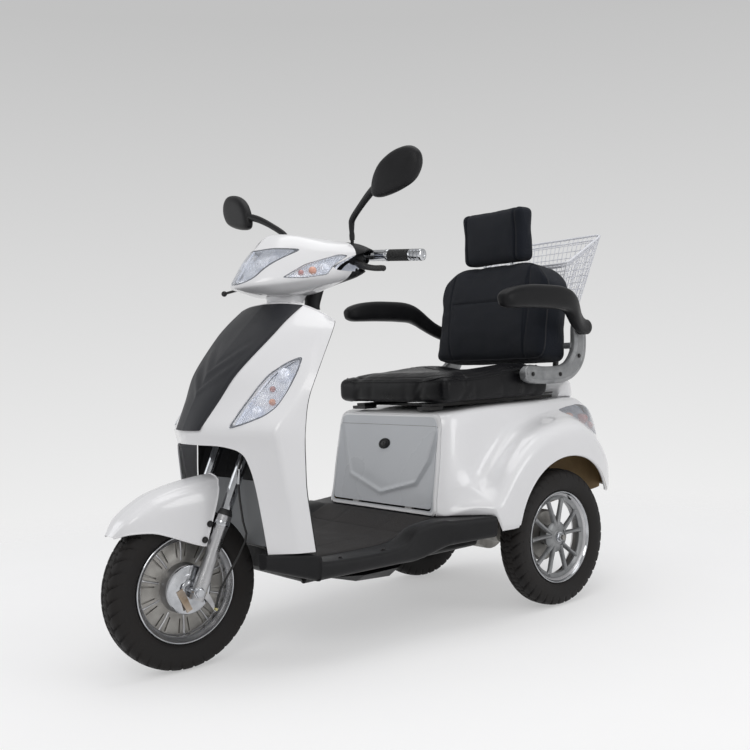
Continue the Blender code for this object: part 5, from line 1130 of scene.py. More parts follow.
for side, sign in SIDES:
    centre = (sign * WHEEL_X, AXLE_Y, TYRE_RADIUS)
    body_name = "rear_wheel_" + side
    piece(tyre_mesh("tyre_" + side, centre), body_name, ["rear_tyre_" + side])
    lip = ((0.0305, 0.1380), (0.0318, 0.1372), (0.0318, 0.1345), (0.0290, 0.1325), (0.0255, 0.1310), (0.0215, 0.1235), (0.0175, 0.1215),
           (0.0060, 0.1190), (-0.0150, 0.1190), (-0.0270, 0.1300), (-0.0310, 0.1335), (-0.0310, 0.1372), (-0.0300, 0.1380),
           (-0.0200, 0.1378), (0.0200, 0.1378))
    barrel = wheel_ring("barrel", centre, sign, "alloy", lip)
    polished = wheel_ring("lip", centre, sign, "chrome", ((0.0318, 0.1371), (0.0324, 0.1362), (0.0321, 0.1348), (0.0296, 0.1328),
                                                          (0.0262, 0.1311), (0.0256, 0.1314), (0.0290, 0.1332), (0.0310, 0.1350)))
    band = wheel_ring("band", centre, sign, "silver_paint", ((0.0218, 0.1230), (0.0180, 0.1190), (0.0150, 0.1120), (0.0110, 0.1105),
                                                             (0.0060, 0.1120), (0.0055, 0.1195), (0.0150, 0.1225)))
    parts = [barrel, polished, band]
    shares = ((0.0, 0.0085, 0.0165, 0.0085), (0.15, 0.0066, 0.0170, 0.0075), (0.5, 0.0058, 0.0165, 0.0065), (0.85, 0.0062, 0.0160, 0.0062),
              (1.0, 0.0085, 0.0150, 0.0060))
    for k in range(5):
        for lean in (-1, 1):
            parts.append(spoke("arm", centre, sign, (0.030, 90 + 72 * k + lean * 9.0), (0.1165, 90 + 72 * k + lean * 16.2), shares,
                               "silver_paint", lean * 1.2))
    hub = ((-0.026, 0.0086), (-0.026, 0.028), (-0.020, 0.030), (0.0080, 0.031), (0.0100, 0.046), (0.0140, 0.0475), (0.0180, 0.0440),
           (0.0215, 0.0330), (0.0225, 0.0215), (0.0245, 0.0200), (0.0255, 0.0180), (0.0255, 0.0086))
    parts.append(wheel_ring("hub", centre, sign, "silver_paint", hub, 96))
    made = joined("wheel_" + side, parts)
    piece(made, body_name, ["rear_rim_" + side])
    nut = turned("hub_nut_" + side, [(sign * out, radius) for out, radius in ((0.0262, 0.0092), (0.0262, 0.0155), (0.0290, 0.0155), (0.0295, 0.0125))],
                 centre, "chrome", 32)
    hexa = turned("hub_hex", [(sign * out, radius) for out, radius in ((0.0290, 0.0), (0.0290, 0.0120), (0.0370, 0.0120), (0.0385, 0.0105), (0.0385, 0.0))],
                  centre, "chrome", 6)
    tip = turned("hub_tip", [(sign * out, radius) for out, radius in ((0.0380, 0.0), (0.0380, 0.0072), (0.0430, 0.0072), (0.0442, 0.0060), (0.0442, 0.0))],
                 centre, "worn_steel", 24)
    for part in (nut, hexa, tip):
        part.name = "%s_%s" % (part.name.replace("_" + side, ""), side)
        piece(part, body_name)
    back_plate = turned("drum_" + side, [(-sign * out, radius) for out, radius in ((0.028, 0.030), (0.028, 0.072), (0.034, 0.078), (0.050, 0.078), (0.054, 0.070), (0.054, 0.030))],
                        centre, "cast_alloy", 64, closed=True)
    piece(back_plate, "chassis")
    stalk = about(centre, 0.128, 62)
    valve = tube("valve", [stalk + Vector((sign * 0.012, 0, 0)), stalk + Vector((sign * 0.030, -0.003, -0.006))], 0.0030, "cable_rubber", 12)
    valve.name = "valve_" + side
    piece(valve, body_name)

front = tuple(FRONT_AXLE)
piece(tyre_mesh("tyre_front", front), "front_wheel", ["front_tyre"])
ring = ((0.0305, 0.1380), (0.0318, 0.1372), (0.0318, 0.1340), (0.0295, 0.1322), (0.0265, 0.1312), (0.0225, 0.1255), (0.0180, 0.1228), (0.0110, 0.1205),
        (0.0085, 0.1175), (-0.0085, 0.1175), (-0.0110, 0.1205), (-0.0180, 0.1228), (-0.0225, 0.1255), (-0.0265, 0.1312),
        (-0.0295, 0.1322), (-0.0318, 0.1340), (-0.0318, 0.1372), (-0.0305, 0.1380), (-0.0200, 0.1378), (0.0200, 0.1378))
parts = [wheel_ring("barrel", front, 1, "alloy", ring)]
for face in (1, -1):
    parts.append(wheel_ring("lip", front, face, "chrome", ((0.0318, 0.1371), (0.0326, 0.1362), (0.0322, 0.1344), (0.0298, 0.1325), (0.0270, 0.1314),
                                                           (0.0266, 0.1318), (0.0296, 0.1330), (0.0312, 0.1350))))
    parts.append(wheel_ring("inner_lip", front, face, "chrome", ((0.0186, 0.1225), (0.0192, 0.1218), (0.0128, 0.1196), (0.0108, 0.1202))))
disc = turned("disc", ((-0.0060, 0.0500), (-0.0075, 0.0640), (-0.0060, 0.0700), (-0.0060, 0.1180), (-0.0050, 0.1200), (0.0050, 0.1200),
                       (0.0060, 0.1180), (0.0060, 0.0700), (0.0075, 0.0640), (0.0060, 0.0500)), front, "cast_alloy", 144, closed=True)
slots = []
for k in range(10):
    for lean in (-7.5, 7.5):
        corners = [about(front, r, 90 + 36 * k + lean + w) for r, w in ((0.078, -1.2), (0.078, 1.2), (0.1150, 1.5), (0.1150, -1.5))]
        for low, high in ((-0.03, -0.0012), (0.0012, 0.03)):
            slots.append(x_prism("slot", flat([(c.y, c.z) for c in corners], 0.0015, 3), low, high, "cast_alloy"))
disc = cut(disc, slots, 30)
parts.append(disc)
for k in range(10):
    for face in (1, -1):
        shares = ((0.0, 0.0034, 0.0060, 0.0026), (0.5, 0.0028, 0.0062, 0.0028), (1.0, 0.0034, 0.0058, 0.0024))
        parts.append(spoke("rib", front, face, (0.069, 90 + 36 * k), (0.117, 90 + 36 * k), shares, "alloy"))
drum_side = ((0.0355, 0.0086), (0.0355, 0.0300), (0.0350, 0.0560), (0.0330, 0.0600), (0.0250, 0.0620), (0.0060, 0.0640), (-0.0060, 0.0640),
             (-0.0200, 0.0560), (-0.0290, 0.0380), (-0.0330, 0.0280), (-0.0360, 0.0240), (-0.0360, 0.0086))
parts.append(wheel_ring("drum", front, 1, "alloy", drum_side, 96))
piece(joined("wheel_front", parts), "front_wheel", ["front_rim"])

plate_x = 0.036 + 0.0055
plate = turned("brake_cover", ((plate_x, 0.0085), (plate_x, 0.0605), (plate_x + 0.0015, 0.0618), (plate_x + 0.0040, 0.0600), (plate_x + 0.0052, 0.0540),
                               (plate_x + 0.0046, 0.0420), (plate_x + 0.0058, 0.0390), (plate_x + 0.0060, 0.0250), (plate_x + 0.0090, 0.0215),
                               (plate_x + 0.0095, 0.0150), (plate_x + 0.0095, 0.0085)), front, "chrome", 96, closed=True)
for face in plate.data.polygons:
    face.use_smooth = True
rust = bpy.data.materials.get("worn_steel")
piece(plate, "steering", ["front_brake_plate"])
pin = Vector((plate_x, front[1] + 0.036, front[2] - 0.012))
end = pin + Vector((0.0085, 0.030, -0.048))
arm_rings = []
for k, (along, half) in enumerate(((-0.10, 0.0085), (0.0, 0.0095), (0.3, 0.0075), (0.7, 0.0058), (1.0, 0.0066), (1.08, 0.0050))):
    middle = pin.lerp(end, along) + Vector((0.0095 if along < 0.4 else 0.0045, 0, 0))
    across = (end - pin).cross(Vector((1, 0, 0))).normalized()
    arm_rings.append([middle + across * half * w + Vector((0.0022 * d, 0, 0)) for w, d in ((-1, -1), (1, -1), (1, 1), (-1, 1))])
piece(solid("brake_arm", flow_rows(arm_rings, 3), "alloy"), "steering")
tools = (("brake_arm_nut", pin + Vector((0.0125, 0, 0)), 0.0062), ("brake_arm_pin", end + Vector((0.0062, 0, 0)), 0.0042))
for name, spot, size in tools:
    piece(turned(name, ((-0.0015, 0.0), (-0.0015, size * 1.3), (0.0, size * 1.3), (0.0002, size), (0.0045, size), (0.0055, size * 0.7), (0.0055, 0)),
                 spot, "brass", 6 if size > 0.005 else 20), "steering")
anchor = []
for along, half, out in ((0.0, 0.010, 0.0065), (0.35, 0.0095, 0.0085), (0.75, 0.0080, 0.0120), (1.0, 0.0085, 0.0140)):
    middle = Vector((plate_x, front[1] - 0.030, front[2] + 0.004)).lerp(Vector((plate_x, front[1] - 0.008, front[2] - 0.050)), along)
    across = Vector((0, 0.93, 0.37))
    anchor.append([middle + across * half * w + Vector((out + 0.0020 * d, 0, 0)) for w, d in ((-1, -1), (1, -1), (1, 1), (-1, 1))])
piece(solid("torque_stay", flow_rows(anchor, 4), "worn_steel"), "steering")


# Fork

SLIDE = 0.200
offset = FRONT_AXLE - HEAD
ALONG = offset.dot(STEER)


def on_fork(distance, sign):
    """A point this far up a fork leg from the axle's height."""
    return HEAD + STEER * (ALONG + distance) + Vector((sign * 0.070, 0, 0))


for side, sign in SIDES:
    profile = ((-0.0300, 0.0), (-0.0300, 0.0110), (-0.0240, 0.0185), (0.0300, 0.0198), (0.0600, 0.0178), (0.1500, 0.0176), (0.1680, 0.0192),
               (0.1760, 0.0200), (0.1990, 0.0200), (0.2000, 0.0190), (0.2000, 0.0))
    profile = [(max(a, -0.020), r) for a, r in profile]
    leg = turned("leg_slider_" + side, profile, on_fork(0, sign), "alloy", 48, STEER)
    leg = cut(leg, [turned("eye", ((-0.2, 0.0083), (0.2, 0.0083)), tuple(FRONT_AXLE), "alloy", 32)])
    piece(leg, "steering", ["fork_slider_" + side])
    seal = turned("leg_seal_" + side, ((0.1985, 0.0150), (0.1985, 0.0196), (0.2050, 0.0192), (0.2090, 0.0172), (0.2140, 0.0160), (0.2150, 0.0150)),
                  on_fork(0, sign), "cable_rubber", 48, STEER, closed=True)
    piece(seal, "steering")
    clamp = turned("leg_collar_" + side, ((0.1720, 0.0202), (0.1740, 0.0210), (0.1830, 0.0210), (0.1850, 0.0202)), on_fork(0, sign), "chrome", 48, STEER,
                   closed=True)
    piece(clamp, "steering")
    nut = turned("axle_cap", [(sign * a, r) for a, r in ((0.0905, 0.0086), (0.0905, 0.0150), (0.0925, 0.0150), (0.0930, 0.0128), (0.1000, 0.0128), (0.1012, 0.0110), (0.1012, 0.0086))],
                 tuple(FRONT_AXLE), "chrome", 6, closed=True)
    nut.name = "axle_nut_" + side
    piece(nut, "steering")

ferrule = [Vector((0.104, -0.434, 0.462)), Vector((0.104, -0.430, 0.500))]
piece(tube("cable_ferrule", ferrule, 0.0052, "chrome", 16), "steering")



# Soft goods


def rounded_block(name, halves, radius, material):
    """A closed block with rounded edges, round the origin."""
    bm = bmesh.new()
    bmesh.ops.create_cube(bm, size=2)
    bmesh.ops.scale(bm, vec=halves, verts=bm.verts)
    bmesh.ops.bevel(bm, geom=bm.edges[:], offset=radius, segments=6, profile=0.5, affect="EDGES")
    return from_bmesh(name, bm, material)


def stuffed(obj, voxel, pressure, cap, shape, give):
    """Remeshes the cover, shapes it and swells it as foam does; give is the share of the swelling kept, up to the cap."""
    step = obj.modifiers.new("cells", "REMESH")
    step.mode = "VOXEL"
    step.voxel_size = voxel
    settled(obj)
    for vert in obj.data.vertices:
        vert.co = shape(vert.co)
    obj.data.update()
    start = [v.co.copy() for v in obj.data.vertices]
    cloth = obj.modifiers.new("cover", "CLOTH")
    cloth.settings.use_pressure = True
    cloth.settings.uniform_pressure_force = pressure
    cloth.settings.effector_weights.gravity = 0
    cloth.settings.quality = 4
    for number in range(1, 21):
        bpy.context.scene.frame_set(number)
    settled(obj)
    bpy.context.scene.frame_set(1)
    for vert, origin in zip(obj.data.vertices, start):
        move = (vert.co - origin) * give
        vert.co = origin + move.normalized() * min(move.length, cap)
    smooth = obj.modifiers.new("smooth", "SMOOTH")
    smooth.factor = 0.5
    smooth.iterations = 6
    finer = obj.modifiers.new("finer", "SUBSURF")
    finer.levels = finer.render_levels = 1
    return settled(obj, 80)


def fitted(obj, halves):
    """Scales the form so that it fills its room and no more."""
    reach = [max(abs(v.co[axis]) for v in obj.data.vertices) for axis in range(3)]
    for vert in obj.data.vertices:
        vert.co = Vector([vert.co[axis] * halves[axis] / reach[axis] for axis in range(3)])
    return obj


def pressed(obj, depth_at):
    """Moves each point inwards along its normal by what the function gives."""
    moves = [(v.index, v.normal.copy(), depth_at(v.co, v.normal)) for v in obj.data.vertices]
    for index, normal, depth in moves:
        if depth:
            obj.data.vertices[index].co -= normal * depth
    return obj


def seam(distance, width=0.0045, depth=0.0040):
    return depth * math.exp(-((distance / width) ** 2))


def stitches(name, path, obj, gap, material="thread", radius=0.0007):
    """Short threads lying on the cover along a line, one after another, as one piece."""
    bm = bmesh.new()
    path = [Vector(p) for p in path]
    run, last = 0.0, path[0]
    marks = [last]
    for point in path[1:]:
        while (point - last).length > gap:
            last = last + (point - last).normalized() * gap
            marks.append(last)
    tree = bvhtree.BVHTree.FromObject(obj, bpy.context.evaluated_depsgraph_get())
    parts = []
    for a, b in zip(marks[::2], marks[1::2]):
        ends = []
        for point in (a, (a + b) / 2, b):
            near, normal, _, _ = tree.find_nearest(point)
            ends.append(near + normal * (0.0009 if point is not a and point is not b else 0.0001))
        parts.append(tube("stitch", ends, radius, material, 5))
    return joined(name, parts)


# Seat back
BACK_HALVES = (0.2455, 0.0805, 0.169)
LEAN = Matrix.Translation((0, 0.585, 0.745)) @ Matrix.Rotation(math.radians(-9), 4, "X") @ Matrix.Translation((0, 0.080, 0.169))


def back_form(p):
    """The seat back's plain form: round upper corners, thinner at the top, sides drawn in between the corners."""
    across, high = abs(p.x) / 0.237, p.z / 0.159
    x = p.x * (1 - 0.07 * max(0.0, high) ** 5 - 0.006 * (1 - high**2))
    z = p.z - 0.050 * across**6 * max(0.0, high) ** 1.5 - 0.004 * (1 - across**2) * (high < -0.6)
    return Vector((x, p.y * (1 - 0.08 * max(0.0, high) ** 3), z))


back = stuffed(rounded_block("seat_back", (0.241, 0.074, 0.164), 0.028, "black_fabric"), 0.0055, 4.0, 0.022, back_form, 0.35)
fitted(back, BACK_HALVES)


def back_dent(p, normal):
    """The seams of the seat back: a cross seam and one beside each bolster."""
    if normal.y > 0.2:
        return 0.0
    bolster = abs(p.x) - 0.160 - 0.014 * math.sin((p.z + 0.165) * 9)
    cross = abs(p.z - 0.030 - 0.10 * p.x**2)
    deep = max(seam(bolster, 0.0042, 0.0026), seam(cross, 0.0042, 0.0030) if abs(p.x) < 0.160 else 0.0)
    puff = 0.0
    if abs(p.x) < 0.160:
        puff = 0.0050 * math.sin(min(1.0, (p.z + 0.150) / 0.180) * math.pi) if p.z < 0.030 else 0.0040 * math.sin((p.z - 0.030) / 0.130 * math.pi)
    wrinkle = 0.0012 * noise.noise(Vector((p.x * 14, p.z * 30, 3.1)))
    return deep - max(puff, 0) * 0.5 * (-normal.y > 0.5) + wrinkle


pressed(back, back_dent)
fitted(back, BACK_HALVES)
lines = []
for sign in (-1, 1):
    lines.append([(sign * (0.166 + 0.014 * math.sin((z + 0.165) * 9)), -0.07, z) for z in [(-0.130 + 0.27 * k / 60) for k in range(61)]])
lines.append([(x, -0.07, 0.036 + 0.10 * x**2) for x in [(-0.155 + 0.31 * k / 60) for k in range(61)]])
threads = joined("seat_back_threads", [stitches("run", line, back, 0.0042) for line in lines])
edge_line = []
tree = bvhtree.BVHTree.FromObject(back, bpy.context.evaluated_depsgraph_get())
for k in range(140):
    t = 2 * math.pi * k / 140
    c, s = math.cos(t), math.sin(t)
    size = (abs(c) ** 7 + abs(s) ** 7) ** (1 / 7)
    aim = Vector((0.250 * c / size, -0.052, 0.170 * s / size))
    near, normal, _, _ = tree.find_nearest(aim)
    edge_line.append(near + normal * 0.0002)
piping = tube("seat_back_piping", edge_line, 0.0026, "thread", 8, closed=True)
for made in (back, threads, piping):
    made.data.transform(LEAN)
piece(back, "seat", ["backrest"])
piece(threads, "seat")
piece(piping, "seat")

# Headrest
HEAD_HALVES = (0.134, 0.0435, 0.0895)
HEAD_PLACE = Matrix.Translation((0, 0.643 + 0.0425, 1.158))


def head_form(p):
    across, high = abs(p.x) / 0.126, p.z / 0.079
    return Vector((p.x * (1 - 0.03 * max(0.0, -high) ** 2 - 0.012 * (1 - high**2)), p.y, p.z * (1 - 0.02 * (1 - across**2))))


head = stuffed(rounded_block("head_cushion", (0.130, 0.039, 0.086), 0.020, "black_fabric"), 0.0045, 4.0, 0.014, head_form, 0.30)
fitted(head, HEAD_HALVES)


def head_dent(p, normal):
    fold = abs(p.x) - 0.104 - 0.004 * math.cos(p.z * 20)
    wrinkle = 0.0009 * noise.noise(Vector((p.x * 20, p.z * 34, 7.7)))
    return (seam(fold, 0.0042, 0.0050) if normal.y < 0.2 else 0.0) + wrinkle


pressed(head, head_dent)
fitted(head, HEAD_HALVES)
lines = [[(sign * (0.109 + 0.004 * math.cos(z * 20)), -0.04, z) for z in [(-0.070 + 0.14 * k / 40) for k in range(41)]] for sign in (-1, 1)]
threads = joined("headrest_threads", [stitches("run", line, head, 0.0040) for line in lines])
for made in (head, threads):
    made.data.transform(HEAD_PLACE)
piece(head, "seat", ["headrest"])
piece(threads, "seat")

# Seat cushion
SEAT_HALVES = (0.2495, 0.2295, 0.0365)


def seat_form(p):
    across, along = abs(p.x) / 0.243, p.y / 0.223
    x = p.x * (1 - 0.020 * max(0.0, -along) ** 4 - 0.006 * (1 - along**2))
    return Vector((x, p.y * (1 - 0.030 * across**4 * (p.y < 0)), p.z * (1 - 0.06 * max(0.0, -along) ** 6)))


seat = stuffed(rounded_block("seat_squab", (0.243, 0.223, 0.0335), 0.017, "black_vinyl"), 0.0055, 4.0, 0.014, seat_form, 0.40)
fitted(seat, SEAT_HALVES)
BASE = Vector((0, 0.395, 0.6680))


def seat_shape(p):
    """The seat's rise to wings beside the back, and its low middle, over the plain squab."""
    share = max(0.0, min(1.0, (p.y + 0.120) / 0.230))
    rise = share * share * (3 - 2 * share)
    wing = max(0.0, min(1.0, (abs(p.x) - 0.060) / 0.150))
    wing = wing * wing * (3 - 2 * wing)
    top = max(0.0, min(1.0, (p.z + 0.026) / 0.045))
    lift = 0.018 * rise * wing * top
    reach = (abs(p.x / 0.249) ** 6 + abs(p.y / 0.229) ** 6) ** (1 / 6)
    tuck = 0.0088 * max(0.0, min(1.0, (0.955 - reach) / 0.02)) * (p.z < -0.026)
    high = p.z * 1.45 if p.z > 0 else max(p.z * 1.3, -0.0365)
    return Vector((p.x, p.y, high + lift + tuck))


for vert in seat.data.vertices:
    vert.co = seat_shape(vert.co)
seat.data.update()


def seat_dent(p, normal):
    """The border seam along the top edge, the crease before the back, and small folds in the vinyl."""
    if normal.z < -0.3:
        return 0.0
    reach = (abs(p.x / 0.236) ** 6 + abs(p.y / 0.217) ** 6) ** (1 / 6)
    border = seam((reach - 0.955) * 0.22, 0.0040, 0.0022) if normal.z > 0.1 else 0.0
    cross = seam(p.y - 0.075 - 0.12 * p.x**2, 0.0060, 0.0026) if abs(p.x) < 0.150 and normal.z > 0.3 else 0.0
    side = 0.0
    for place, slope in ((0.040, 0.9), (0.062, 0.7), (-0.110, -0.4)):
        line = p.y - place - slope * (abs(p.x) - 0.19)
        side += seam(line, 0.0055, 0.0012) * max(0.0, min(1.0, (abs(p.x) - 0.130) / 0.03)) * (normal.z > 0.2)
    wrinkle = 0.0008 * noise.noise(Vector((p.x * 7, p.y * 16, 1.7))) + 0.0003 * noise.noise(Vector((p.x * 30, p.y * 46, 5.2)))
    return border + cross + side + wrinkle


pressed(seat, seat_dent)
tree = bvhtree.BVHTree.FromObject(seat, bpy.context.evaluated_depsgraph_get())
edge_line = []
for k in range(180):
    t = 2 * math.pi * k / 180
    c, s = math.cos(t), math.sin(t)
    size = (abs(c) ** 6 + abs(s) ** 6) ** (1 / 6)
    flat_point = Vector((0.246 * c / size, 0.227 * s / size, 0.0))
    near, normal, _, _ = tree.find_nearest(seat_shape(flat_point + Vector((0, 0, 0.022))))
    edge_line.append(near + normal * 0.0001)
piping = tube("squab_piping", edge_line, 0.0024, "black_vinyl", 8, closed=True)
for made in (seat, piping):
    made.data.transform(Matrix.Translation(BASE))
piece(seat, "seat", ["seat_cushion"])
piece(piping, "seat")


# Armrests and brackets

BRACKET_X, PIVOT = 0.272, Vector((0.302, 0.742, 0.842))
ARM_LINE = (
    # x, y, z, half width, half height
    (0.352, 0.3005, 0.9190, 0.006, 0.006), (0.352, 0.3035, 0.9195, 0.014, 0.013), (0.352, 0.3110, 0.9210, 0.0205, 0.0195),
    (0.352, 0.3300, 0.9240, 0.0255, 0.0270), (0.352, 0.3700, 0.9290, 0.0275, 0.0320), (0.352, 0.4300, 0.9320, 0.0280, 0.0345),
    (0.352, 0.5000, 0.9315, 0.0280, 0.0350), (0.352, 0.5550, 0.9290, 0.0275, 0.0350), (0.350, 0.5950, 0.9220, 0.0262, 0.0320),
    (0.344, 0.6250, 0.9070, 0.0240, 0.0280), (0.334, 0.6500, 0.8870, 0.0215, 0.0250), (0.323, 0.6750, 0.8680, 0.0195, 0.0230),
    (0.313, 0.7050, 0.8520, 0.0180, 0.0225), (0.307, 0.7350, 0.8430, 0.0170, 0.0230), (0.306, 0.7520, 0.8410, 0.0150, 0.0210),
    (0.306, 0.7600, 0.8405, 0.0090, 0.0130),
)


def oval(half, high, power=3.2, sides=28):
    ring = []
    for k in range(sides):
        c, s = math.cos(2 * math.pi * k / sides), math.sin(2 * math.pi * k / sides)
        size = (abs(c) ** power + abs(s) ** power) ** (1 / power)
        ring.append((half * c / size, high * s / size))
    return ring


line = flow([row[:3] for row in ARM_LINE], 4)
spans = flow([(row[3], row[4], 0) for row in ARM_LINE], 4)
arm = swept("arm_pad", line, [oval(s.x, s.y) for s in spans], "smooth_pad")
pressed(arm, lambda p, n: seam(p.z - 0.9135, 0.0016, 0.0012) if p.y < 0.60 and abs(n.x) > 0.5 else 0.0)
pair(arm, "arm_pad_{}", "armrest_arm_{}", ["armrest_{}"])
for side, sign in SIDES:
    hub_profile = ((-0.0177, 0.0), (-0.0177, 0.0215), (-0.0150, 0.0235), (0.0120, 0.0235), (0.0155, 0.0205), (0.0160, 0.0120), (0.0150, 0.0))
    hub_place = (sign * PIVOT.x, PIVOT.y, PIVOT.z)
    hub = turned("arm_hub_" + side, [(sign * along, radius) for along, radius in hub_profile], hub_place, "smooth_pad", 48)
    piece(hub, "armrest_arm_" + side)

SPINE = ((0.4740, 0.7050, 0.004), (0.4765, 0.7050, 0.0140), (0.4840, 0.7040, 0.0215), (0.5000, 0.7030, 0.0262), (0.5400, 0.6985, 0.0270),
         (0.6000, 0.6960, 0.0270), (0.6500, 0.6975, 0.0272), (0.6900, 0.7080, 0.0285), (0.7200, 0.7290, 0.0310), (0.7400, 0.7570, 0.0318),
         (0.7480, 0.7950, 0.0305), (0.7490, 0.8330, 0.0290), (0.7480, 0.8540, 0.0240), (0.7475, 0.8640, 0.0150), (0.7470, 0.8680, 0.0050))
track = flow(SPINE, 5)
plate = swept("arm_bracket", [(BRACKET_X, p.x, p.y) for p in track], [oval(p.z, 0.0118, 5.5, 32) for p in track], "silver_paint", up=(1, 0, 0))
rise = swept("rise", [(BRACKET_X + 0.0106, p.x, p.y) for p in track[10:-8]],
             [oval(p.z * 0.70 * min(1.0, 0.35 + 0.3 * min(k, len(track) - 19 - k)), 0.0026, 3.0, 20) for k, p in enumerate(track[10:-8])],
             "silver_paint", up=(1, 0, 0))
hollow = swept("hollow", [(BRACKET_X + 0.0128, p.x, p.y) for p in track[14:-12]],
               [oval(p.z * 0.52 * min(1.0, 0.35 + 0.3 * min(k, len(track) - 27 - k)), 0.0020, 3.0, 20) for k, p in enumerate(track[14:-12])],
               "silver_paint", up=(1, 0, 0))
bracket = cut(boolean(plate, "UNION", [rise]), [hollow])
bosses = []
for y, z, reach in ((0.530, 0.682, 0.2505), (0.715, 0.785, 0.2455)):
    bosses.append(turned("boss", ((reach, 0.0), (reach, 0.0100), (BRACKET_X, 0.0100), (BRACKET_X, 0.0)), (0, y, z), "silver_paint", 32))
pair(boolean(bracket, "UNION", bosses), "bracket_{}", "seat", ["armrest_bracket_{}"])
for side, sign in SIDES:
    for k, (y, z) in enumerate(((0.510, 0.702), (0.640, 0.697), (0.736, 0.752), (0.748, 0.842))):
        screw = bolt((sign * (BRACKET_X + 0.0118), y, z), (sign, 0, 0), 0.0046, "black_steel")
        screw.name = "bracket_bolt_%s_%d" % (side, k)
        piece(screw, "seat")


# Basket

LOW_HALF, LOW_FRONT, LOW_REAR, LOW_Z = 0.150, 0.815, 0.930, 0.9355
TOP_HALF, TOP_FRONT, TOP_REAR, FRONT_TOP, REAR_TOP = 0.1975, 0.8025, 0.9978, 1.0580, 1.1625


def basket_place(u, v, w):
    """A point of the basket: across, front to rear, bottom to top, each 0 to 1."""
    half = LOW_HALF + (TOP_HALF - LOW_HALF) * w
    front = LOW_FRONT + (TOP_FRONT - LOW_FRONT) * w
    rear = LOW_REAR + (TOP_REAR - LOW_REAR) * w
    top = FRONT_TOP + (REAR_TOP - FRONT_TOP) * v
    return Vector(((2 * u - 1) * half, front + (rear - front) * v, LOW_Z + (top - LOW_Z) * w))


def basket_loop(w, steps=11, corner=0.10):
    ring = [(0, 0), (1, 0), (1, 1), (0, 1)]
    line = rounded([(a, b, 0) for a, b in ring], corner, 4, True, steps)
    return [basket_place(p.x, p.y, w) for p in line]


wires = []
for k in range(1, 10):
    wires.append(tube("loop", basket_loop(k / 10), 0.0016, "white_wire", 6, closed=True))
wires.append(tube("foot_loop", basket_loop(0.0), 0.0020, "white_wire", 8, closed=True))
wires.append(tube("rim", basket_loop(1.0), 0.0039, "white_wire", 12, closed=True))
wires.append(tube("under_rim", basket_loop(0.93), 0.0026, "white_wire", 8, closed=True))
for k in range(1, 20):
    u = k / 20
    path = [basket_place(u, 0, w / 6) for w in range(6, -1, -1)] + [basket_place(u, v / 6, 0) for v in range(1, 6)]
    path += [basket_place(u, 1, w / 6) for w in range(0, 7)]
    wires.append(tube("hoop", path, 0.0016, "white_wire", 6, up=(1, 0, 0)))
for k in range(1, 10):
    v = k / 10
    path = [basket_place(0, v, w / 6) for w in range(6, -1, -1)] + [basket_place(u / 6, v, 0) for u in range(1, 6)]
    path += [basket_place(1, v, w / 6) for w in range(0, 7)]
    wires.append(tube("rib", path, 0.0016, "white_wire", 6, up=(0, 1, 0)))
for sign in (-1, 1):
    for v in (0.0, 1.0):
        path = [basket_place(0.5 + sign * 0.485, abs(v - 0.03), w / 6) for w in range(7)]
        wires.append(tube("post", path, 0.0028, "white_wire", 8, up=(0, 1, 0)))
piece(joined("basket_wires", wires), "chassis", ["basket"])


# Mirrors, grips and levers

BAR_IN, BAR_OUT = Vector((0.22, -0.028, 1.046)), Vector((0.358, -0.003, 1.034))


def on_bar(x):
    return BAR_IN.lerp(BAR_OUT, (x - BAR_IN.x) / (BAR_OUT.x - BAR_IN.x))


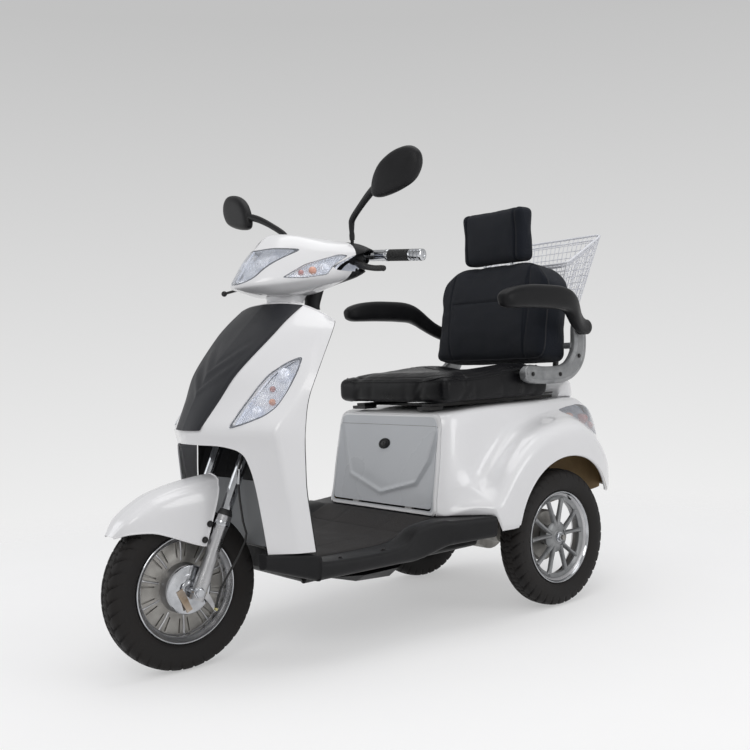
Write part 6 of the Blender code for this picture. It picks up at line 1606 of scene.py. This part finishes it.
BAR_LINE = (BAR_OUT - BAR_IN).normalized()
TEAR = flat([(-0.083, -0.040), (-0.060, -0.053), (-0.005, -0.052), (0.052, -0.040), (0.080, -0.008), (0.083, 0.026), (0.060, 0.052),
             (0.010, 0.054), (-0.040, 0.036), (-0.070, 0.002)], 0.03, 6)
MIRROR_SWING = {"left": 15, "right": 2}
for side, sign in SIDES:
    swing = Matrix.Rotation(math.radians(MIRROR_SWING[side] * sign), 4, "Z")
    place = Matrix.Translation((sign * 0.372, -0.104, 1.240)) @ swing @ Matrix.Rotation(math.radians(-9 * sign), 4, "Y")

    def tear_ring(depth, size, shift=0.0):
        return [place @ Vector((sign * x * size, depth, z * size + shift)) for x, z in TEAR]

    shell_rings = [tear_ring(d, s) for d, s in ((-0.0150, 0.35), (-0.0142, 0.58), (-0.0118, 0.79), (-0.0070, 0.93), (0.0, 0.992), (0.0075, 1.0),
                                                (0.0125, 0.985), (0.0132, 0.955), (0.0108, 0.935), (0.0100, 0.93))]
    piece(solid("mirror_shell_" + side, flow_rows(shell_rings, 2), "black_plastic"), "steering", ["mirror_" + side])
    piece(solid("mirror_glass_" + side, [tear_ring(0.0101, 0.925), tear_ring(0.0114, 0.925), tear_ring(0.0118, 0.90)], "mirror_glass"), "steering")
    foot = Vector((sign * 0.155, -0.073, 1.071))
    stem = [foot, foot + Vector((0, 0, 0.022)), foot + Vector((0, 0, 0.060)), Vector((sign * 0.165, -0.076, 1.150)), Vector((sign * 0.215, -0.084, 1.180)),
            Vector((sign * 0.262, -0.092, 1.203)), Vector((sign * 0.300, -0.099, 1.216)), Vector((sign * 0.330, -0.104, 1.222))]
    radii = [p.x for p in flow([(r, 0, 0) for r in (0.0050, 0.0050, 0.0078, 0.0086, 0.0090, 0.0102, 0.0106, 0.0080)], 5)]
    piece(tube("mirror_stem_" + side, flow(stem, 5), radii, "black_plastic", 18, up=(0, 1, 0)), "steering")
    nut = turned("mirror_nut", ((0.0, 0.0), (0.0, 0.0085), (0.0090, 0.0085), (0.0100, 0.0074), (0.0100, 0.0)), tuple(foot + Vector((0, 0, 0.0015))), "brass", 6,
                 (0, 0, 1))
    nut.name = "mirror_nut_" + side
    piece(nut, "steering")
    boot_top = turned("mirror_boot", ((0.0, 0.0), (0.0, 0.0070), (0.012, 0.0076), (0.022, 0.0066), (0.022, 0.0)), tuple(foot + Vector((0, 0, 0.022))),
                      "black_plastic", 32, (0, 0, 1))
    boot_top.name = "mirror_boot_" + side
    piece(boot_top, "steering")

    aim = Vector((sign * BAR_LINE.x, BAR_LINE.y, BAR_LINE.z))
    spot = on_bar(0.250)
    start = Vector((sign * spot.x, spot.y, spot.z))
    sleeve = turned("bar_sleeve", ((-0.068, 0.0113), (-0.068, 0.0145), (-0.064, 0.0152), (-0.012, 0.0152), (-0.010, 0.0162), (-0.002, 0.0162), (0.0, 0.0150),
                                   (0.0, 0.0113)), tuple(start), "chrome", 40, aim, closed=True)
    sleeve.name = "bar_sleeve_" + side
    piece(sleeve, "steering")
    ribs = [(0.0005, 0.0113), (0.0005, 0.0152)]
    for k in range(13):
        at = 0.003 + k * 0.0050
        ribs += [(at, 0.0158), (at + 0.0032, 0.0158), (at + 0.0036, 0.0150), (at + 0.0046, 0.0150)]
    ribs += [(0.0690, 0.0156), (0.0695, 0.0113)]
    rubber = turned("grip_rubber", ribs, tuple(start), "grip_rubber", 40, aim, closed=True)
    rubber.name = "grip_rubber_" + side
    piece(rubber, "steering", ["grip_" + side])
    ends = [(0.0700, 0.0), (0.0700, 0.0152)]
    for at in (0.0720, 0.0830, 0.0940):
        ends += [(at, 0.0160), (at + 0.0060, 0.0160), (at + 0.0066, 0.0142), (at + 0.0098, 0.0142)]
    ends += [(0.1060, 0.0160), (0.1110, 0.0154), (0.1125, 0.0130), (0.1125, 0.0080), (0.1105, 0.0070), (0.1105, 0.0)]
    cap = turned("bar_end", ends, tuple(start), "chrome", 40, aim)
    cap.name = "bar_end_" + side
    piece(cap, "steering")

    perch = flow([(sign * 0.146, -0.0745, 1.040), (sign * 0.158, -0.0680, 1.040), (sign * 0.171, -0.0600, 1.040), (sign * 0.181, -0.0535, 1.040)], 3)
    sizes = flow([(0.010, 0.012, 0), (0.017, 0.017, 0), (0.018, 0.018, 0), (0.015, 0.015, 0)], 3)
    piece(swept("lever_perch_" + side, perch, [oval(h.x, h.y, 3.4) for h in sizes], "black_plastic"), "steering")
    blade_line = flow([(sign * 0.168, -0.072, 1.033), (sign * 0.200, -0.087, 1.020), (sign * 0.235, -0.091, 1.011), (sign * 0.265, -0.090, 1.005),
                       (sign * 0.288, -0.088, 1.003), (sign * 0.296, -0.087, 1.002)], 5)
    blade_size = flow([(0.0065, 0.0100, 0), (0.0060, 0.0095, 0), (0.0050, 0.0082, 0), (0.0046, 0.0078, 0), (0.0058, 0.0080, 0), (0.0066, 0.0072, 0)], 5)
    lever = swept("lever_blade", blade_line, [oval(s.x, s.y, 2.6, 20) for s in blade_size], "black_steel")
    tip = turned("tip", [(-0.0080 * math.cos(k * math.pi / 10), 0.0080 * math.sin(k * math.pi / 10)) for k in range(11)], (sign * 0.2955, -0.087, 1.002),
                 "black_steel", 24)
    parts = [lever, tip]
    if side == "right":
        parts.append(tube("reach", flow([(-0.290, -0.090, 1.002), (-0.340, -0.122, 0.997), (-0.388, -0.148, 0.988)], 5), 0.0042, "black_steel", 12))
        ball = [(-0.0090 * math.cos(k * math.pi / 10), 0.0090 * math.sin(k * math.pi / 10)) for k in range(11)]
        parts.append(turned("ball", ball, (-0.391, -0.150, 0.987), "black_steel", 24))
    piece(joined("lever_blade_" + side, parts), "steering", ["brake_lever_" + side])

stalk = tube("switch_stalk", flow([(0.176, -0.078, 1.012), (0.178, -0.082, 1.000), (0.179, -0.084, 0.990)], 4), 0.0035, "black_plastic", 12)
piece(stalk, "steering")


# Shock absorbers

for side, sign in SIDES:
    low = Vector((sign * 0.195, AXLE_Y, TYRE_RADIUS + 0.0213))
    high = Vector((sign * 0.195, 0.522, 0.455))
    run = high - low
    along = run.normalized()
    across = along.cross(Vector((1, 0, 0))).normalized()
    other = along.cross(across)
    coil = []
    for k in range(8 * 22 + 1):
        t = k / (8 * 22)
        turn = 2 * math.pi * 8 * t
        coil.append(low + along * (0.052 + (run.length - 0.090) * t) + across * 0.0205 * math.cos(turn) + other * 0.0205 * math.sin(turn))
    spring = tube("coil", coil, 0.0032, "black_steel", 8, up=tuple(along))
    body_rings = turned("damper", ((0.0, 0.0), (0.0, 0.0105), (0.030, 0.0110), (0.046, 0.0190), (0.052, 0.0220), (0.055, 0.0150), (0.130, 0.0150),
                                   (0.132, 0.0080), (run.length - 0.040, 0.0080), (run.length - 0.038, 0.0220), (run.length - 0.033, 0.0225),
                                   (run.length - 0.028, 0.0120), (run.length, 0.0110), (run.length, 0.0)), tuple(low), "black_steel", 32, along)
    pin = turned("pin", ((sign * 0.1625, 0.0), (sign * 0.1625, 0.0090), (sign * 0.207, 0.0090), (sign * 0.207, 0.0)), (0, 0.522, 0.455), "chrome", 24)
    piece(joined("spring_damper_" + side, [spring, body_rings, pin]), "chassis", ["shock_" + side])



# Carried-over solids

OVERRIDES = {"rear_axle": "cast_alloy", "drive_motor": "cast_alloy", "seat_rails": "black_steel", "arch_liner": "black_plastic",
             "splash_panel": "grey_plastic", "front_axle": "chrome"}
SLOT_OF = {entry["node"]: entry["material_slot"] for entry in frame["record"]["subparts"]}
for name, obj in frame["nodes"].items():
    obj.data.materials.clear()
    obj.data.materials.append(LOOKS[OVERRIDES.get(name) or SLOT_OF[name]])


# Floor, light and camera


def linear(level):
    """A scene-linear value from an 8-bit screen level."""
    share = level / 255
    return share / 12.92 if share <= 0.04045 else ((share + 0.055) / 1.055) ** 2.4


BACKDROP = ((-0.34, 253), (-0.24, 246), (-0.146, 240), (-0.042, 234), (0.063, 229), (0.167, 219), (0.244, 210), (0.335, 194))


def backdrop_ramp(nodes, links, height):
    """The photograph's grey backdrop as a ramp over the height of the direction looked in."""
    span = nodes.new("ShaderNodeMapRange")
    span.inputs["From Min"].default_value = BACKDROP[0][0]
    span.inputs["From Max"].default_value = BACKDROP[-1][0]
    links.new(height, span.inputs["Value"])
    ramp_node = nodes.new("ShaderNodeValToRGB")
    links.new(span.outputs[0], ramp_node.inputs[0])
    stops = ramp_node.color_ramp.elements
    reach = BACKDROP[-1][0] - BACKDROP[0][0]
    for k, (at, level) in enumerate(BACKDROP):
        place = (at - BACKDROP[0][0]) / reach
        stop = stops[0] if k == 0 else stops[1] if k == len(BACKDROP) - 1 else stops.new(place)
        stop.position = place
    for stop in stops:
        at = BACKDROP[0][0] + stop.position * reach
        level = min(BACKDROP, key=lambda entry: abs(entry[0] - at))[1]
        stop.color = (linear(level), linear(level), linear(level), 1)
    return ramp_node.outputs[0]


def seen_ray(nodes, links):
    """1 for rays from the camera, off a gloss or through glass."""
    path = nodes.new("ShaderNodeLightPath")
    total = path.outputs["Is Camera Ray"]
    for kind in ("Is Glossy Ray", "Is Transmission Ray"):
        add = nodes.new("ShaderNodeMath")
        add.operation = "MAXIMUM"
        links.new(total, add.inputs[0])
        links.new(path.outputs[kind], add.inputs[1])
        total = add.outputs[0]
    return total


WORLD_LIGHT = 0.58
world = bpy.data.worlds.new("studio")
world.use_nodes = True
bpy.context.scene.world = world
nodes, links = world.node_tree.nodes, world.node_tree.links
nodes.clear()
split = nodes.new("ShaderNodeSeparateXYZ")
links.new(nodes.new("ShaderNodeTexCoord").outputs["Generated"], split.inputs[0])
seen = nodes.new("ShaderNodeBackground")
links.new(backdrop_ramp(nodes, links, split.outputs["Z"]), seen.inputs["Color"])
lit = nodes.new("ShaderNodeBackground")
lit.inputs["Color"].default_value = (WORLD_LIGHT, WORLD_LIGHT, WORLD_LIGHT * 1.02, 1)
choice = nodes.new("ShaderNodeMixShader")
links.new(seen_ray(nodes, links), choice.inputs[0])
links.new(lit.outputs[0], choice.inputs[1])
links.new(seen.outputs[0], choice.inputs[2])
links.new(choice.outputs[0], nodes.new("ShaderNodeOutputWorld").inputs[0])


def floor_material():
    """Pale paper that takes the shadow near the object and gives way to the backdrop further off."""
    material = bpy.data.materials.new("studio_floor")
    material.use_nodes = True
    nodes, links = material.node_tree.nodes, material.node_tree.links
    nodes.clear()
    place = nodes.new("ShaderNodeTexCoord").outputs["Object"]
    paper = nodes.new("ShaderNodeBsdfDiffuse")
    links.new(ramp(nodes, links, texture(nodes, links, place, "noise", 3.0), (0.560,) * 3, (0.568,) * 3),
              paper.inputs["Color"])
    glow = nodes.new("ShaderNodeEmission")
    glow.inputs["Color"].default_value = (0.40, 0.40, 0.40, 1)
    both = nodes.new("ShaderNodeAddShader")
    links.new(paper.outputs[0], both.inputs[0])
    links.new(glow.outputs[0], both.inputs[1])
    viewed = nodes.new("ShaderNodeMixShader")
    links.new(seen_ray(nodes, links), viewed.inputs[0])
    links.new(paper.outputs[0], viewed.inputs[1])
    links.new(both.outputs[0], viewed.inputs[2])
    length = nodes.new("ShaderNodeVectorMath")
    length.operation = "LENGTH"
    links.new(place, length.inputs[0])
    fade = nodes.new("ShaderNodeMapRange")
    fade.interpolation_type = "SMOOTHSTEP"
    fade.inputs["From Min"].default_value = 1.3
    fade.inputs["From Max"].default_value = 2.9
    links.new(length.outputs["Value"], fade.inputs["Value"])
    gone = nodes.new("ShaderNodeMixShader")
    links.new(fade.outputs[0], gone.inputs[0])
    links.new(viewed.outputs[0], gone.inputs[1])
    links.new(nodes.new("ShaderNodeBsdfTransparent").outputs[0], gone.inputs[2])
    links.new(gone.outputs[0], nodes.new("ShaderNodeOutputMaterial").inputs[0])
    return material


bm = bmesh.new()
bmesh.ops.create_grid(bm, x_segments=2, y_segments=2, size=6)
mesh = bpy.data.meshes.new("floor")
bm.to_mesh(mesh)
bm.free()
floor = bpy.data.objects.new("floor", mesh)
bpy.context.scene.collection.objects.link(floor)
mesh.materials.append(floor_material())
floor.location.z = -0.0005

LAMPS = (
    # name, place, size, watts, colour
    ("key", (2.3, -2.6, 2.7), 1.8, 23, (1.0, 0.99, 0.97)),
    ("top", (0.3, 0.2, 3.3), 2.6, 25, (1.0, 1.0, 1.0)),
    ("side", (3.2, 1.0, 1.5), 1.6, 16, (1.0, 1.0, 1.0)),
    ("left", (-2.4, -2.4, 1.6), 1.8, 11, (0.96, 0.98, 1.0)),
)
for name, place, size, watts, colour in LAMPS:
    lamp = bpy.data.lights.new(name, "AREA")
    lamp.shape = "DISK"
    lamp.size = size
    lamp.energy = watts
    lamp.color = colour
    holder = bpy.data.objects.new(name, lamp)
    bpy.context.scene.collection.objects.link(holder)
    holder.location = place
    holder.rotation_euler = (Vector((0, 0, 0.6)) - Vector(place)).to_track_quat("-Z", "Y").to_euler()

AZIMUTH, ELEVATION, ROLL = math.radians(49.687), math.radians(0.912), math.radians(-2.213)
back = Vector((math.sin(AZIMUTH) * math.cos(ELEVATION), -math.cos(AZIMUTH) * math.cos(ELEVATION), math.sin(ELEVATION)))
level_right = Vector((math.cos(AZIMUTH), math.sin(AZIMUTH), 0))
level_up = back.cross(level_right)
right = math.cos(ROLL) * level_right + math.sin(ROLL) * level_up
up = -math.sin(ROLL) * level_right + math.cos(ROLL) * level_up
camera = bpy.data.objects.new("camera", bpy.data.cameras.new("camera"))
bpy.context.scene.collection.objects.link(camera)
place = SHIFT @ Vector((2.1662, -1.7163, 0.7636))
camera.matrix_world = Matrix((
    (right.x, up.x, back.x, place.x),
    (right.y, up.y, back.y, place.y),
    (right.z, up.z, back.z, place.z),
    (0, 0, 0, 1),
))
camera.data.sensor_width = 36
camera.data.lens = 45.55
bpy.context.scene.camera = camera
bpy.context.scene.view_settings.view_transform = "Standard"
